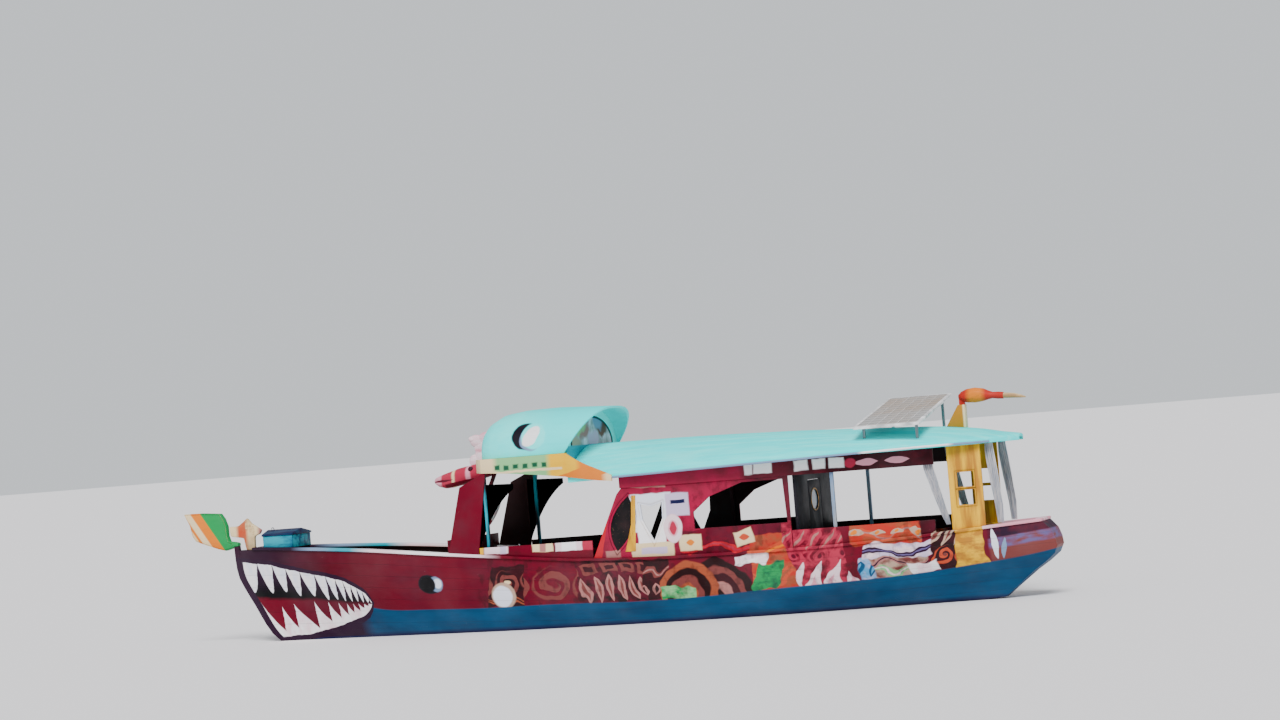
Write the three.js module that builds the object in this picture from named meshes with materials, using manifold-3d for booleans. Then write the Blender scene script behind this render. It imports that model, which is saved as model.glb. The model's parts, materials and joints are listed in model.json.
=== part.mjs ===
// Painted wooden river fishing boat, about 14 m over its stem head, drawn in millimetres.
// +X points to the bow, +Y to port and +Z up. The origin lies amidships on the waterline.

import * as THREE from 'three';
import { mergeVertices } from 'three/addons/utils/BufferGeometryUtils.js';
import Module from 'manifold-3d';

const wasm = await Module();
wasm.setup();

// Clearances: between pieces that touch, and where a sloping edge meets a faceted one
const GAP = 0.3;
const SEAM = 0.6;

// Hull form
const BOTTOM_Z = -330;
const KEEL_Z = -520;
const RABBET_HALF = 40;
const HULL_WALL = 55;
const STATIONS = 34;
const LEVELS = 12;
const END_CROWD = 0.035;
const LEAST_HALF = 12;
// Stem and stern profiles: [height, distance forward]
const STEM_PROFILE = fair([[-330, 4900], [-250, 5270], [-120, 5590], [0, 5790], [170, 5955], [360, 6070],
  [580, 6185], [850, 6340], [1090, 6450], [1290, 6480], [1500, 6490], [2600, 6500]]);
const STERN_PROFILE = fair([[-330, -3000], [-220, -4000], [-120, -4700], [-50, -5250], [0, -5900],
  [100, -6040], [380, -6410], [640, -6760], [745, -6800], [1000, -6720], [1100, -6620], [2600, -6560]]);
// Sheer line: [distance forward, height]
const SHEER = fair([[-6620, 1100], [-5700, 1050], [-4500, 985], [-3000, 950], [-1500, 950], [0, 990],
  [1550, 1125], [2600, 1225], [4200, 1375], [6000, 1475], [6700, 1500]]);
const SHEER_PASSES = 6;
// Plan and fullness: [share of length from the stern, half breadth at the sheer, fullness of the section]
const PLAN = [[0, 330, 1.05], [0.08, 720, 1.2], [0.17, 1020, 1.5], [0.3, 1195, 2.1], [0.45, 1230, 2.4],
  [0.6, 1180, 2.3], [0.75, 960, 1.9], [0.88, 600, 1.5], [0.96, 250, 1.25], [1, 45, 1.1]];
const HALF_BREADTH = fair(PLAN.map(([share, half]) => [share, half]));
const FULLNESS = fair(PLAN.map(([share, , full]) => [share, full]));

// Decks and the well
const DECK_DROP = 110;
const DECK_READ_Z = 1000;
const LEAST_DEPTH = 60;
const WELL_LEVELS = 8;
const PLANK_MARGIN = 10;
const SOLE_Z = 130;
const AFT_DECK_Z = 640;
const PLANK = 25;
const FOREDECK_X = [2470, 5950];
const WELL_X = [-5180, 2400];
const AFT_DECK_X = [-6530, -5250];
const OPEN_TOP = 2400;
// Where the bow joins the sides, in the bulkhead between the foredeck and the well
const BOW_JOINT_X = 2435;
const PAST_ENDS_X = 8000;

// Gunwale cap
const RAIL_HEIGHT = 45;
const RAIL_OUT = 30;
const RAIL_IN = 150;
const RAIL_END_SHARE = 0.98;
const RAIL_LEAST_HALF = 24;
const TRANSOM_CAP = { x: [-6618, -6490], half: 170 };

// Keel, rudder shoe and stem
const KEEL_HALF = 45;
const KEEL_FORE_X = 4880;
const KEEL_TOE = { x: 4600, rise: 90 };
const KEEL_HEEL_Z = -135;
const KEEL_RUN_Z = -60;
const SHOE_X = -5660;
const SHOE_DEPTH = 40;
const STEM_DEPTH = 85;
const STEM_TOP_Z = 1560;
const STEM_HEAD_HALF = 55;
const BOW_BIRD_HALF = 35;

// Locker across the bow rails: half widths at its aft and forward end
const LOCKER_X = [5390, 5960];
const LOCKER_HALF = [340, 225];
const LOCKER_TOP = 1690;
const LOCKER_WALL = 25;
const LOCKER_LID = { over: 15, edge: 30, ridge: 95 };

// House sides: where each panel starts and ends along the boat
const PANEL = 35;
const PANEL_INSET = 20;
const EDGE_STEP = 150;
const VALANCE_Z = 2050;
const VALANCE_X = [-5200, -480];
const SILL_FRONT_Z = 1300;
const SILL_AFT_Z = 1250;
const FRONT_BOARD = { foot: [1900, 2420], head: [1690, 1750], shoulder: [2150, 2240], top: 2424 };
const FRONT_COAMING_X = [20, 1880];
const SIDE_PANEL_X = [-3080, 10];
const SIDE_PANEL_RAKE = [[-420, 1960], [-500, VALANCE_Z - GAP]];
const AFT_COAMING_X = [-5160, -3090];
const WINDOW = [[-1600, 1370], [-1600, 1620], [-1860, 1830], [-2370, 2005], [-3000, 2010], [-3030, 1370]];
const SHIELD_HOLE = [[-780, 1790], [-950, 1750], [-1120, 1800], [-1110, 1560], [-960, 1230], [-800, 1560]];
const LEAF_HOLE = { foot: [-370, 1110], head: [-600, 1930], fore: [-120, 1560], aft: [-840, 1500] };
const POST = 50;
const POSTS_X = { front: 1735, mid: -1500, aft: -3720 };
const POST_CLEAR = { front: 3, mid: 1, aft: 4 };
const FRONT_POST_TOP = 2423;
const QUARTER_BOARD_X = [-5850, -5390];
const QUARTER_BOARD_THICK = 50;
const QUARTER_HOLE_X = [-5735, -5505];
const QUARTER_HOLES_Z = [[1430, 1645], [1690, 1905]];

// Roof
const ROOF_THICK = 45;
const ROOF_LIP = 75;
const ROOF_LIP_WIDE = 30;
const ROOF_STATIONS = 24;
const ROOF_ARC = 16;
// [distance forward, half width, underside of the eave, height of the crown]
const ROOF = [[-6350, 150, 2300, 2400], [-6150, 480, 2300, 2430], [-5700, 800, 2295, 2520],
  [-5100, 1080, 2290, 2590], [-4200, 1290, 2285, 2640], [-2700, 1385, 2270, 2700], [-1000, 1360, 2225, 2735],
  [330, 1200, 2190, 2740]];
const ROOF_HALF = fair(ROOF.map(([x, half]) => [x, half]));
const ROOF_EAVE = fair(ROOF.map(([x, , eave]) => [x, eave]));
const ROOF_CROWN = fair(ROOF.map(([x, , , crown]) => [x, crown]));
const ROOF_FORE_X = 330;
const ROOF_AFT_X = -6350;

// Cowl over the helm
const COWL_BASE_Z = 2640;
const COWL_WALL = 35;
const COWL_ARC = 20;
const COWL_POWER = 2.5;
const NEAR_ZERO = 1e-6;
// [distance forward, half width, height of the crown]
const COWL = [[360, 1190, 3300], [800, 1185, 3345], [1250, 1170, 3340], [1560, 1115, 3300], [1740, 1000, 3215],
  [1830, 850, 3140], [1890, 620, 3110]];
// How far the crown of the aft rim hangs back over the roof, and the board beneath it
const COWL_RAKE = 470;
const COWL_BACK = { half: 1128, x: [330, 360], least: 0.01 };

// Lip band that carries the cowl, from its port tail to the middle of the front:
// [outer x, outer y, inner x, inner y, underside, top]
const LIP_TOP = COWL_BASE_Z - GAP;
const LIP_TAIL = [[-420, 2172, 2262], [-200, 2195, 2360], [0, 2225, 2445], [180, 2255, 2540],
  [330.3, 2280, LIP_TOP]];
const LIP_TAIL_THICK = 45;
const LIP_FRONT = [[331.5, 1215, 331.5, 1130, 2281], [800, 1210, 800, 1125, 2345],
  [1250, 1195, 1250, 1110, 2395], [1570, 1170, 1570, 1030, 2420], [1750, 1135, 1730, 930, 2430],
  [1890, 960, 1790, 780, 2435], [1980, 480, 1845, 430, 2435], [2030, 0, 1845, 0, 2435]];

// Head over the brow of the cowl: [distance forward, height, half width, half height], and its crest
const BROW_HEAD = [[2030 + GAP, 2490, 150, 117], [2200, 2450, 165, 125], [2400, 2420, 155, 140],
  [2600, 2370, 135, 148], [2800, 2343, 115, 130], [2950, 2345, 75, 78], [3000, 2365, 30, 30]];
const BROW_CREST = [[2060, 2500], [2420, 2500], [2480, 2570], [2400, 2710], [2350, 2880], [2410, 2965],
  [2200, 3070], [2060, 3100], [1891, 3105], [1891, 2641], [2060, 2641]];
const CREST_HALF = 40;

// Windscreen: dash, the post in the middle and the ring that hangs behind it
const DASH_X = [2410, 2445];
const DASH_TOP = 1450;
const DASH_CLEAR = { rail: 7, board: 2 };
const SCREEN_POST = { half: 30, foot: [2410, 2445], head: [1940, 2000], top: 2435, tenon: 20 };
const LIFEBUOY = { z: 1880, ring: 315, tube: 60 };

// Helm
const CONSOLE = { x: [1500, 1850], half: 350, top: 1150 };
const WHEEL = { x: 1390, z: 1020, rim: 215, bar: 16, hub: 38, hubX: [1370, 1494], shaft: 18, shaftEnd: 1560,
  boreEnd: 1565, spoke: [20, 26] };
const SEAT = { x: [620, 960], half: 280, top: 600, board: 40 };

// Cabin: benches, the bulkhead with its door, and the engine under its box
const BENCH = { x: [-2900, -300], y: [560, 1055], top: 560, board: 30 };
const BULKHEAD_X = [-3150, -3115];
const BULKHEAD_MARGIN = 8;
const BULKHEAD_RAIL_CLEAR = 3;
const BULKHEAD_SIDE_Z = [300, 500, 700, 860];
const BULKHEAD_HEAD_STEPS = 10;
const DOORWAY = { half: 350, top: 1950 };
const DOOR = { x: [-3147, -3117], half: 345, low: 8, top: 1945 };
const DOOR_LIGHT = { z: 1650, r: 150, wide: 1.2, depth: 100 };
const HINGE = { r: 8, leaf: 50, z: [420, 1500], tall: 110, edge: 1, stand: 2 };
const ENGINE_BOX = { x: [-4330, -3480], half: 430, top: 900, wall: 30, lidOver: 10 };
const ENGINE = { x: [-4240, -3570], half: 270, top: 780 };

// Solar panel across the roof: height of its underside at the port edge, and the rise to the other edge
const SOLAR_X = [-5110, -4120];
const SOLAR_HALF = 1120;
const SOLAR_THICK = 40;
const SOLAR_LOW_Z = 2640;
const SOLAR_RISE = 390;
const STAND_BAR = 40;
const STAND_X = [-5030, -4240];
const STAND_Y = [-900, 860];

// Mast board and the carved bird on it: [distance forward, height, half width, half height]
const MAST = { foot: [-5560, -5270], head: [-5560, -5460], top: 2880, half: 80 };
const FINIAL = [[-5470, 2990, 45, 45], [-5560, 3000, 95, 95], [-5700, 3005, 125, 115],
  [-5850, 3000, 105, 90], [-5960, 2985, 55, 45], [-6060, 2975, 60, 55], [-6250, 2960, 60, 60],
  [-6400, 2935, 35, 40], [-6470, 2920, 12, 14]];
const FINIAL_PEG = { x: [-5555, -5475], half: 40, top: 2970 };

// Bunched nets: [distance forward, how far inside their line, height, radius along, radius across]
const NET_FORE = { x: -5100, inside: 60, rows: [[-5330, 60, 1150, 35, 30], [-5290, 50, 1300, 60, 45],
  [-5200, 20, 1650, 75, 45], [-5110, 0, 2000, 80, 45]] };
const NET_FORE_HEAD = { x: -5060, readAt: [-5085, 36], r: [60, 40] };
const NET_AFT = { y: 480, foot: [-6050, 50, 40], rows: [[-6045, 0, 1400, 70, 50], [-6000, 10, 1800, 75, 50],
  [-5960, 20, 2150, 70, 45]] };
const NET_AFT_HEAD = { x: -5950, inside: 30, readAt: [-6005, 10], r: [55, 40] };

// Rudder, shaft and propeller
const RUDDER_X = -5560;
const STOCK_R = 22;
const TRUNK_R = 28;
const TRUNK_Z = [-300, 1000];
const STOCK_TOP = 900;
const BLADE = [[-5410, -95], [-5450, -472], [-5800, -472], [-5840, -180], [-5800, -95]];
const BLADE_HALF = 20;
const HEEL_PIN = { r: 14, z: [-505, -460], play: 0.4 };
const TILLER = { x: [-5600, -5320], half: 22, z: [850, 890] };
const SHAFT_Z = -285;
const SHAFT_R = 20;
const SHAFT_PLAY = 0.5;
const SHAFT_END_X = -4580;
const KEEL_END_X = -4760;
const PROPELLER_X = -5000;
const PROPELLER_R = 165;
const BLADE_TURN = 0.6;
const PROPELLER_BLADE = { thick: 14, wide: 95 };
const PROPELLER_HUB = { r: 34, half: 50 };
const BLADE_ROOT = 10;

const PALETTE = {
  crimson: 0x8c1230, maroon: 0x6d1a2c, teal: 0x0f6f9f, turquoise: 0x6fe0dc, ochre: 0xc8923a, cream: 0xe8dcc0,
  white: 0xeeeeea, pink: 0xe9a9b4, green: 0x1c9c56, orange: 0xe0832f, red: 0xd8322e, wood: 0x8a6a48,
  dark: 0x24202a, steel: 0x8d9196, bronze: 0xa9803f, lilac: 0x9a86b8, slate: 0xb9b6b4, black: 0x17181b,
};

const boat = new THREE.Group();

// Smooth monotone curve through a short table of [position, value] pairs.
function fair(table) {
  const rows = [...table].sort((a, b) => a[0] - b[0]);
  const last = rows.length - 1;
  const slope = [];
  for (let i = 0; i < last; i += 1) {
    slope.push((rows[i + 1][1] - rows[i][1]) / (rows[i + 1][0] - rows[i][0]));
  }
  const tangent = rows.map((row, i) => {
    if (i === 0) return slope[0];
    if (i === last) return slope[last - 1];
    if (slope[i - 1] * slope[i] <= 0) return 0;
    return (2 * slope[i - 1] * slope[i]) / (slope[i - 1] + slope[i]);
  });
  return (at) => {
    let i = 0;
    while (i < last - 1 && at > rows[i + 1][0]) i += 1;
    const span = rows[i + 1][0] - rows[i][0];
    const t = Math.min(1, Math.max(0, (at - rows[i][0]) / span));
    const t2 = t * t;
    const t3 = t2 * t;
    return (2 * t3 - 3 * t2 + 1) * rows[i][1] + (t3 - 2 * t2 + t) * span * tangent[i]
      + (3 * t2 - 2 * t3) * rows[i + 1][1] + (t3 - t2) * span * tangent[i + 1];
  };
}

// Numbers from one value to another in equal steps, both ends included.
function steps(from, to, count) {
  return Array.from({ length: count + 1 }, (unused, i) => from + ((to - from) * i) / count);
}

// Triangles that close one ring, turning the way the ring does in the Y-Z plane.
function endFaces(ring) {
  const outline = ring.map(([, y, z]) => new THREE.Vector2(y, z));
  const turn = Math.sign(THREE.ShapeUtils.area(outline));
  return THREE.ShapeUtils.triangulateShape(outline, []).map(([a, b, c]) => {
    const area = THREE.ShapeUtils.area([outline[a], outline[b], outline[c]]);
    return area * turn > 0 ? [a, b, c] : [a, c, b];
  });
}

// The same for a ring that runs up one side and down the other, closed level by level.
function levelFaces(ring) {
  const last = ring.length - 1;
  return ring.slice(0, ring.length / 2 - 1)
    .flatMap((point, j) => [[j, j + 1, last - j - 1], [j, last - j - 1, last - j]]);
}

// Solid through a row of closed rings with the same number of points.
function loft(rings, closing = endFaces) {
  const size = rings[0].length;
  const position = rings.flat(2);
  const index = [];
  for (let i = 0; i < rings.length - 1; i += 1) {
    for (let j = 0; j < size; j += 1) {
      const a = i * size + j;
      const b = i * size + ((j + 1) % size);
      index.push(a, b, b + size, a, b + size, a + size);
    }
  }
  const end = (rings.length - 1) * size;
  closing(rings[0]).forEach(([a, b, c]) => index.push(a, c, b));
  closing(rings[rings.length - 1]).forEach(([a, b, c]) => index.push(end + a, end + b, end + c));
  const geometry = new THREE.BufferGeometry();
  geometry.setAttribute('position', new THREE.Float32BufferAttribute(position, 3));
  geometry.setIndex(index);
  return facingOut(geometry);
}

// Signed volume of a closed triangle mesh.
function volumeOf(geometry) {
  const p = geometry.attributes.position;
  const order = geometry.index;
  const corner = [new THREE.Vector3(), new THREE.Vector3(), new THREE.Vector3()];
  let total = 0;
  const count = order ? order.count : p.count;
  for (let i = 0; i < count; i += 3) {
    corner.forEach((c, k) => c.fromBufferAttribute(p, order ? order.getX(i + k) : i + k));
    total += corner[0].dot(corner[1].clone().cross(corner[2])) / 6;
  }
  return total;
}

// Turns a mesh's faces over when they point inwards.
function facingOut(geometry) {
  if (volumeOf(geometry) >= 0) return geometry;
  const order = geometry.index.array;
  for (let i = 0; i < order.length; i += 3) {
    const keep = order[i + 1];
    order[i + 1] = order[i + 2];
    order[i + 2] = keep;
  }
  return geometry;
}

// Closed geometry as a solid for cutting and joining.
function solid(geometry) {
  const bare = geometry.clone();
  bare.deleteAttribute('normal');
  bare.deleteAttribute('uv');
  const merged = mergeVertices(bare, 0.001);
  return new wasm.Manifold(new wasm.Mesh({
    numProp: 3,
    vertProperties: new Float32Array(merged.attributes.position.array),
    triVerts: new Uint32Array(merged.index.array),
  }));
}

// Solid back to geometry.
function shape(body) {
  const mesh = body.getMesh();
  const geometry = new THREE.BufferGeometry();
  geometry.setAttribute('position', new THREE.Float32BufferAttribute(mesh.vertProperties, 3));
  geometry.setIndex(Array.from(mesh.triVerts));
  return geometry;
}

function cut(geometry, ...tools) {
  return shape(tools.reduce((body, tool) => body.subtract(solid(tool)), solid(geometry)));
}

function join(geometry, ...others) {
  return shape(others.reduce((body, other) => body.add(solid(other)), solid(geometry)));
}

// Box from one corner to the other.
function block(x, y, z) {
  const geometry = new THREE.BoxGeometry(x[1] - x[0], y[1] - y[0], z[1] - z[0]);
  return geometry.translate((x[0] + x[1]) / 2, (y[0] + y[1]) / 2, (z[0] + z[1]) / 2);
}

function within(geometry, x, y = [-5000, 5000], z = [-5000, 5000]) {
  return shape(solid(geometry).intersect(solid(block(x, y, z))));
}

// Plate with an outline in the X-Z plane, from its outer face inwards.
function plate(outline, outerY, thick, holes = []) {
  const face = new THREE.Shape(outline.map(([x, z]) => new THREE.Vector2(x, z)));
  holes.forEach((hole) => face.holes.push(new THREE.Path(hole.map(([x, z]) => new THREE.Vector2(x, z)))));
  const geometry = new THREE.ExtrudeGeometry(face, { depth: thick, bevelEnabled: false });
  return geometry.rotateX(Math.PI / 2).translate(0, outerY, 0);
}

// Leans a plate sideways so that it follows the side of the boat between two stations.
function along(geometry, fore, aft) {
  const yFore = sideY(fore);
  const lean = (sideY(aft) - yFore) / (aft - fore);
  const p = geometry.attributes.position;
  for (let i = 0; i < p.count; i += 1) {
    p.setY(i, p.getY(i) + yFore + (p.getX(i) - fore) * lean);
  }
  return geometry;
}

function mirrored(geometry) {
  const flipped = geometry.clone().scale(1, -1, 1);
  const whole = flipped.index ? flipped : mergeVertices(flipped);
  return facingOut(whole);
}

function add(name, geometry, colour, roughness = 0.55, metalness = 0) {
  geometry.deleteAttribute('uv');
  geometry.computeVertexNormals();
  const material = new THREE.MeshStandardMaterial({ color: colour, roughness, metalness });
  const mesh = new THREE.Mesh(geometry, material);
  mesh.name = name;
  boat.add(mesh);
  return mesh;
}

function addPair(name, geometry, colour, roughness, metalness) {
  add(`${name}_port`, geometry, colour, roughness, metalness);
  add(`${name}_starboard`, mirrored(geometry), colour, roughness, metalness);
}

// Hull surface
function lengthAt(share, z) {
  const aft = STERN_PROFILE(z);
  return aft + share * (STEM_PROFILE(z) - aft);
}

function sheerAt(share) {
  let z = SHEER(0);
  for (let i = 0; i < SHEER_PASSES; i += 1) z = SHEER(lengthAt(share, z));
  return z;
}

function halfAt(share, z) {
  const up = Math.min(1, Math.max(0, (z - BOTTOM_Z) / (sheerAt(share) - BOTTOM_Z)));
  const full = FULLNESS(share);
  const swell = (1 - (1 - up) ** full) ** (1 / full);
  return RABBET_HALF + (HALF_BREADTH(share) - RABBET_HALF) * swell;
}

function shareAt(x, z) {
  const aft = STERN_PROFILE(z);
  return (x - aft) / (STEM_PROFILE(z) - aft);
}

// Half breadth of the hull at a place on the sheer.
function sheerHalf(x) {
  return HALF_BREADTH(shareAt(x, SHEER(x)));
}

// Height of the planking's top edge, which is straight from station to station.
const SHEER_EDGE = stationShares().map((share) => [lengthAt(share, sheerAt(share)), sheerAt(share)]);
function sheerEdge(x) {
  const beyond = SHEER_EDGE.findIndex(([at]) => at > x);
  const i = beyond < 0 ? SHEER_EDGE.length - 2 : Math.max(0, beyond - 1);
  const [[x0, z0], [x1, z1]] = [SHEER_EDGE[i], SHEER_EDGE[i + 1]];
  return z0 + ((z1 - z0) * (x - x0)) / (x1 - x0);
}

function railTop(x) {
  return sheerEdge(x) + RAIL_HEIGHT + 2 * GAP;
}

// Outer face of the house side.
function sideY(x) {
  return sheerHalf(x) - PANEL_INSET;
}

// Closed ring of one station between two heights, port side up and starboard side down.
function stationRing(share, heights, inset) {
  const port = heights.map((z) => [lengthAt(share, z), Math.max(LEAST_HALF, halfAt(share, z) - inset), z]);
  const starboard = port.map(([x, y, z]) => [x, -y, z]).reverse();
  return [...port, ...starboard];
}

// Stations crowded towards both ends, where the hull turns most.
function stationShares() {
  return steps(0, 1, STATIONS).map((t) => t - END_CROWD * Math.sin(2 * Math.PI * t));
}

function hullLevels(share) {
  return steps(BOTTOM_Z, sheerAt(share), LEVELS);
}

// Space inside the planking above a floor, between two places along the boat.
function hollow(floorAt, x) {
  const rings = stationShares().map((share) => {
    const floor = floorAt(lengthAt(share, DECK_READ_Z));
    const side = steps(floor, Math.max(floor + LEAST_DEPTH, sheerAt(share)), WELL_LEVELS);
    return stationRing(share, [...side, OPEN_TOP], HULL_WALL);
  });
  return within(loft(rings), x);
}

// Planks laid on the floor of a hollow.
function planking(floorAt, x) {
  const rings = stationShares().map((share) => {
    const floor = floorAt(lengthAt(share, DECK_READ_Z)) + GAP;
    return stationRing(share, [floor, floor + PLANK], HULL_WALL + PLANK_MARGIN);
  });
  return within(loft(rings), [x[0] + SEAM, x[1] - SEAM]);
}

const foredeckFloor = (x) => SHEER(x) - DECK_DROP;
const soleFloor = () => SOLE_Z;
const aftFloor = () => AFT_DECK_Z;
const SOLE_TOP = SOLE_Z + PLANK + 2 * GAP;

function roofTop(x, y) {
  const edge = ROOF_EAVE(x) + ROOF_LIP;
  return edge + (ROOF_CROWN(x) - edge) * (1 - (y / ROOF_HALF(x)) ** 2);
}

// Height of one face of the roof on its own facets. Each panel can fold two ways: pick takes the safe one.
function roofFacet(x, y, halfOf, drop, pick) {
  const run = ((x - ROOF_AFT_X) / (ROOF_FORE_X - ROOF_AFT_X)) * ROOF_STATIONS;
  const i = Math.min(ROOF_STATIONS - 1, Math.max(0, Math.floor(run)));
  const stations = [i, i + 1].map((k) => ROOF_AFT_X + ((ROOF_FORE_X - ROOF_AFT_X) * k) / ROOF_STATIONS);
  const halves = stations.map(halfOf);
  const s = run - i;
  const across = (y / (halves[0] + s * (halves[1] - halves[0])) + 1) * (ROOF_ARC / 2);
  const j = Math.min(ROOF_ARC - 1, Math.max(0, Math.floor(across)));
  const t = across - j;
  const height = (a, b) => roofTop(stations[a], halves[a] * ((2 * (j + b)) / ROOF_ARC - 1)) - drop;
  const [h00, h01, h10, h11] = [height(0, 0), height(0, 1), height(1, 0), height(1, 1)];
  const one = s > t ? h00 + (h10 - h00) * s + (h11 - h10) * t : h00 + (h01 - h00) * t + (h11 - h01) * s;
  const other = s + t < 1 ? h00 + (h10 - h00) * s + (h01 - h00) * t
    : h11 + (h01 - h11) * (1 - s) + (h10 - h11) * (1 - t);
  return pick(one, other);
}

// Height at which something that carries the roof meets its underside, and the seat of what stands on it.
function roofSeat(x, y) {
  return roofFacet(x, y, (at) => ROOF_HALF(at) - ROOF_LIP_WIDE, ROOF_THICK, Math.min) - SEAM;
}

function roofSkin(x, y) {
  return roofFacet(x, y, ROOF_HALF, 0, Math.max) + SEAM;
}

// Upright cylinder, or one along the boat.
function post(radius, x, y, z, sides = 24) {
  const geometry = new THREE.CylinderGeometry(radius, radius, z[1] - z[0], sides).rotateX(Math.PI / 2);
  return geometry.translate(x, y, (z[0] + z[1]) / 2);
}

function shaft(radius, x, y, z, sides = 24) {
  const geometry = new THREE.CylinderGeometry(radius, radius, x[1] - x[0], sides).rotateZ(Math.PI / 2);
  return geometry.translate((x[0] + x[1]) / 2, y, z);
}

// Strip along the boat with a four-cornered section at each place: [inner y, outer y, low z, high z].
function strip(places, sectionAt) {
  return loft(places.map((x) => {
    const [inner, outer, low, high] = sectionAt(x);
    return [[x, inner, low], [x, outer, low], [x, outer, high], [x, inner, high]];
  }));
}

// Places along the boat no more than one step apart.
function places(x) {
  return steps(x[0], x[1], Math.ceil((x[1] - x[0]) / EDGE_STEP));
}

function buildHull() {
  const trunk = post(TRUNK_R, RUDDER_X, 0, TRUNK_Z);
  const form = loft(stationShares().map((share) => stationRing(share, hullLevels(share), 0)), levelFaces);
  const rooms = [hollow(foredeckFloor, FOREDECK_X), hollow(soleFloor, WELL_X), hollow(aftFloor, AFT_DECK_X)];
  const shell = cut(form, ...rooms, trunk);
  const low = [BOTTOM_Z - GAP, SOLE_Z];
  const high = [SOLE_Z + GAP, OPEN_TOP];
  add('hull_bottom', within(shell, [-PAST_ENDS_X, PAST_ENDS_X], undefined, low), PALETTE.teal, 0.5);
  add('hull', within(shell, [-PAST_ENDS_X, BOW_JOINT_X], undefined, high), PALETTE.crimson, 0.45);
  add('hull_bow', within(shell, [BOW_JOINT_X + GAP, PAST_ENDS_X], undefined, high), PALETTE.crimson, 0.45);
  add('foredeck', planking(foredeckFloor, FOREDECK_X), PALETTE.wood, 0.7);
  add('cabin_sole', planking(soleFloor, WELL_X), PALETTE.wood, 0.75);
  add('aft_deck', cut(planking(aftFloor, AFT_DECK_X), trunk), PALETTE.wood, 0.75);
}

// Cap strip along the sheer on each side and across the transom.
function buildGunwales() {
  const rings = stationShares().filter((share) => share < RAIL_END_SHARE).map((share) => {
    const low = sheerAt(share) + GAP;
    const x = lengthAt(share, sheerAt(share));
    const half = HALF_BREADTH(share);
    const [inner, outer] = [Math.max(RAIL_LEAST_HALF, half - RAIL_IN), half + RAIL_OUT];
    const high = low + RAIL_HEIGHT;
    return [[x, inner, low], [x, outer, low], [x, outer, high], [x, inner, high]];
  });
  addPair('gunwale', loft(rings), PALETTE.pink, 0.5);
  const low = sheerEdge(TRANSOM_CAP.x[0]) + GAP;
  const across = [-TRANSOM_CAP.half, TRANSOM_CAP.half];
  add('transom_cap', block(TRANSOM_CAP.x, across, [low, low + RAIL_HEIGHT]), PALETTE.pink, 0.5);
}

// Keel with its rudder shoe, and the raked stem outside the planking.
function buildBackbone() {
  const run = hullLevels(0).filter((z) => z < KEEL_RUN_Z).map((z) => [STERN_PROFILE(z), z - GAP]);
  const top = run.filter(([x]) => x > KEEL_END_X).reverse();
  const toe = [[KEEL_FORE_X, BOTTOM_Z - GAP], [KEEL_FORE_X, KEEL_Z + KEEL_TOE.rise], [KEEL_TOE.x, KEEL_Z]];
  const shoe = [[SHOE_X, KEEL_Z], [SHOE_X, KEEL_Z + SHOE_DEPTH], [KEEL_END_X, KEEL_Z + SHOE_DEPTH]];
  const outline = [...toe, ...shoe, [KEEL_END_X, KEEL_HEEL_Z], ...top];
  const bore = shaft(SHAFT_R + SHAFT_PLAY, [PROPELLER_X, SHAFT_END_X + 2 * SHAFT_R], 0, SHAFT_Z);
  const socketZ = [HEEL_PIN.z[0] - SEAM, KEEL_Z + 2 * SHOE_DEPTH];
  const socket = post(HEEL_PIN.r + HEEL_PIN.play, RUDDER_X, 0, socketZ);
  add('keel', cut(plate(outline, KEEL_HALF, 2 * KEEL_HALF), bore, socket), PALETTE.teal, 0.6);

  const heights = [...hullLevels(1), STEM_TOP_Z];
  const back = heights.map((z) => [STEM_PROFILE(z) + GAP, z]);
  const front = heights.map((z) => [STEM_PROFILE(z) + STEM_DEPTH, z]).reverse();
  add('stem_post', plate([...back, ...front], KEEL_HALF, 2 * KEEL_HALF), PALETTE.maroon, 0.5);
}

// Flared board on the stem and the carved bird behind it.
function buildBowCarvings() {
  const aft = STEM_PROFILE(STEM_TOP_Z) + GAP;
  const seat = [aft, aft + STEM_DEPTH].map((x) => [x, STEM_TOP_Z + GAP]);
  const board = [...seat, [6605, 1530], [6720, 1500], [6860, 1535], [7065, 1610], [7245, 1680],
    [7303, 1767], [7341, 1948], [7432, 2133], [7125, 2129], [6783, 2101], [6724, 2014], [6682, 1893],
    [6680, 1738], [6651, 1642], [6560, 1630], [aft, 1612]];
  add('stem_head', plate(board, STEM_HEAD_HALF, 2 * STEM_HEAD_HALF), PALETTE.green, 0.5);
  const foot = [6210, 6365].map((x) => [x, sheerEdge(x) + SEAM]);
  const bird = [...foot, [6400, 1680], [6631, 1723], [6644, 1878], [6485, 1879], [6373, 1955],
    [6317, 2003], [6246, 1911], [6072, 1793], [6104, 1736], [6200, 1700]];
  add('bow_bird', plate(bird, BOW_BIRD_HALF, 2 * BOW_BIRD_HALF), PALETTE.cream, 0.55);
}

function lockerRing(x, inset, low, high) {
  const t = (x - LOCKER_X[0]) / (LOCKER_X[1] - LOCKER_X[0]);
  const half = LOCKER_HALF[0] + t * (LOCKER_HALF[1] - LOCKER_HALF[0]) - inset;
  return [[x, -half, low], [x, half, low], [x, half, high], [x, -half, high]];
}

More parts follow.
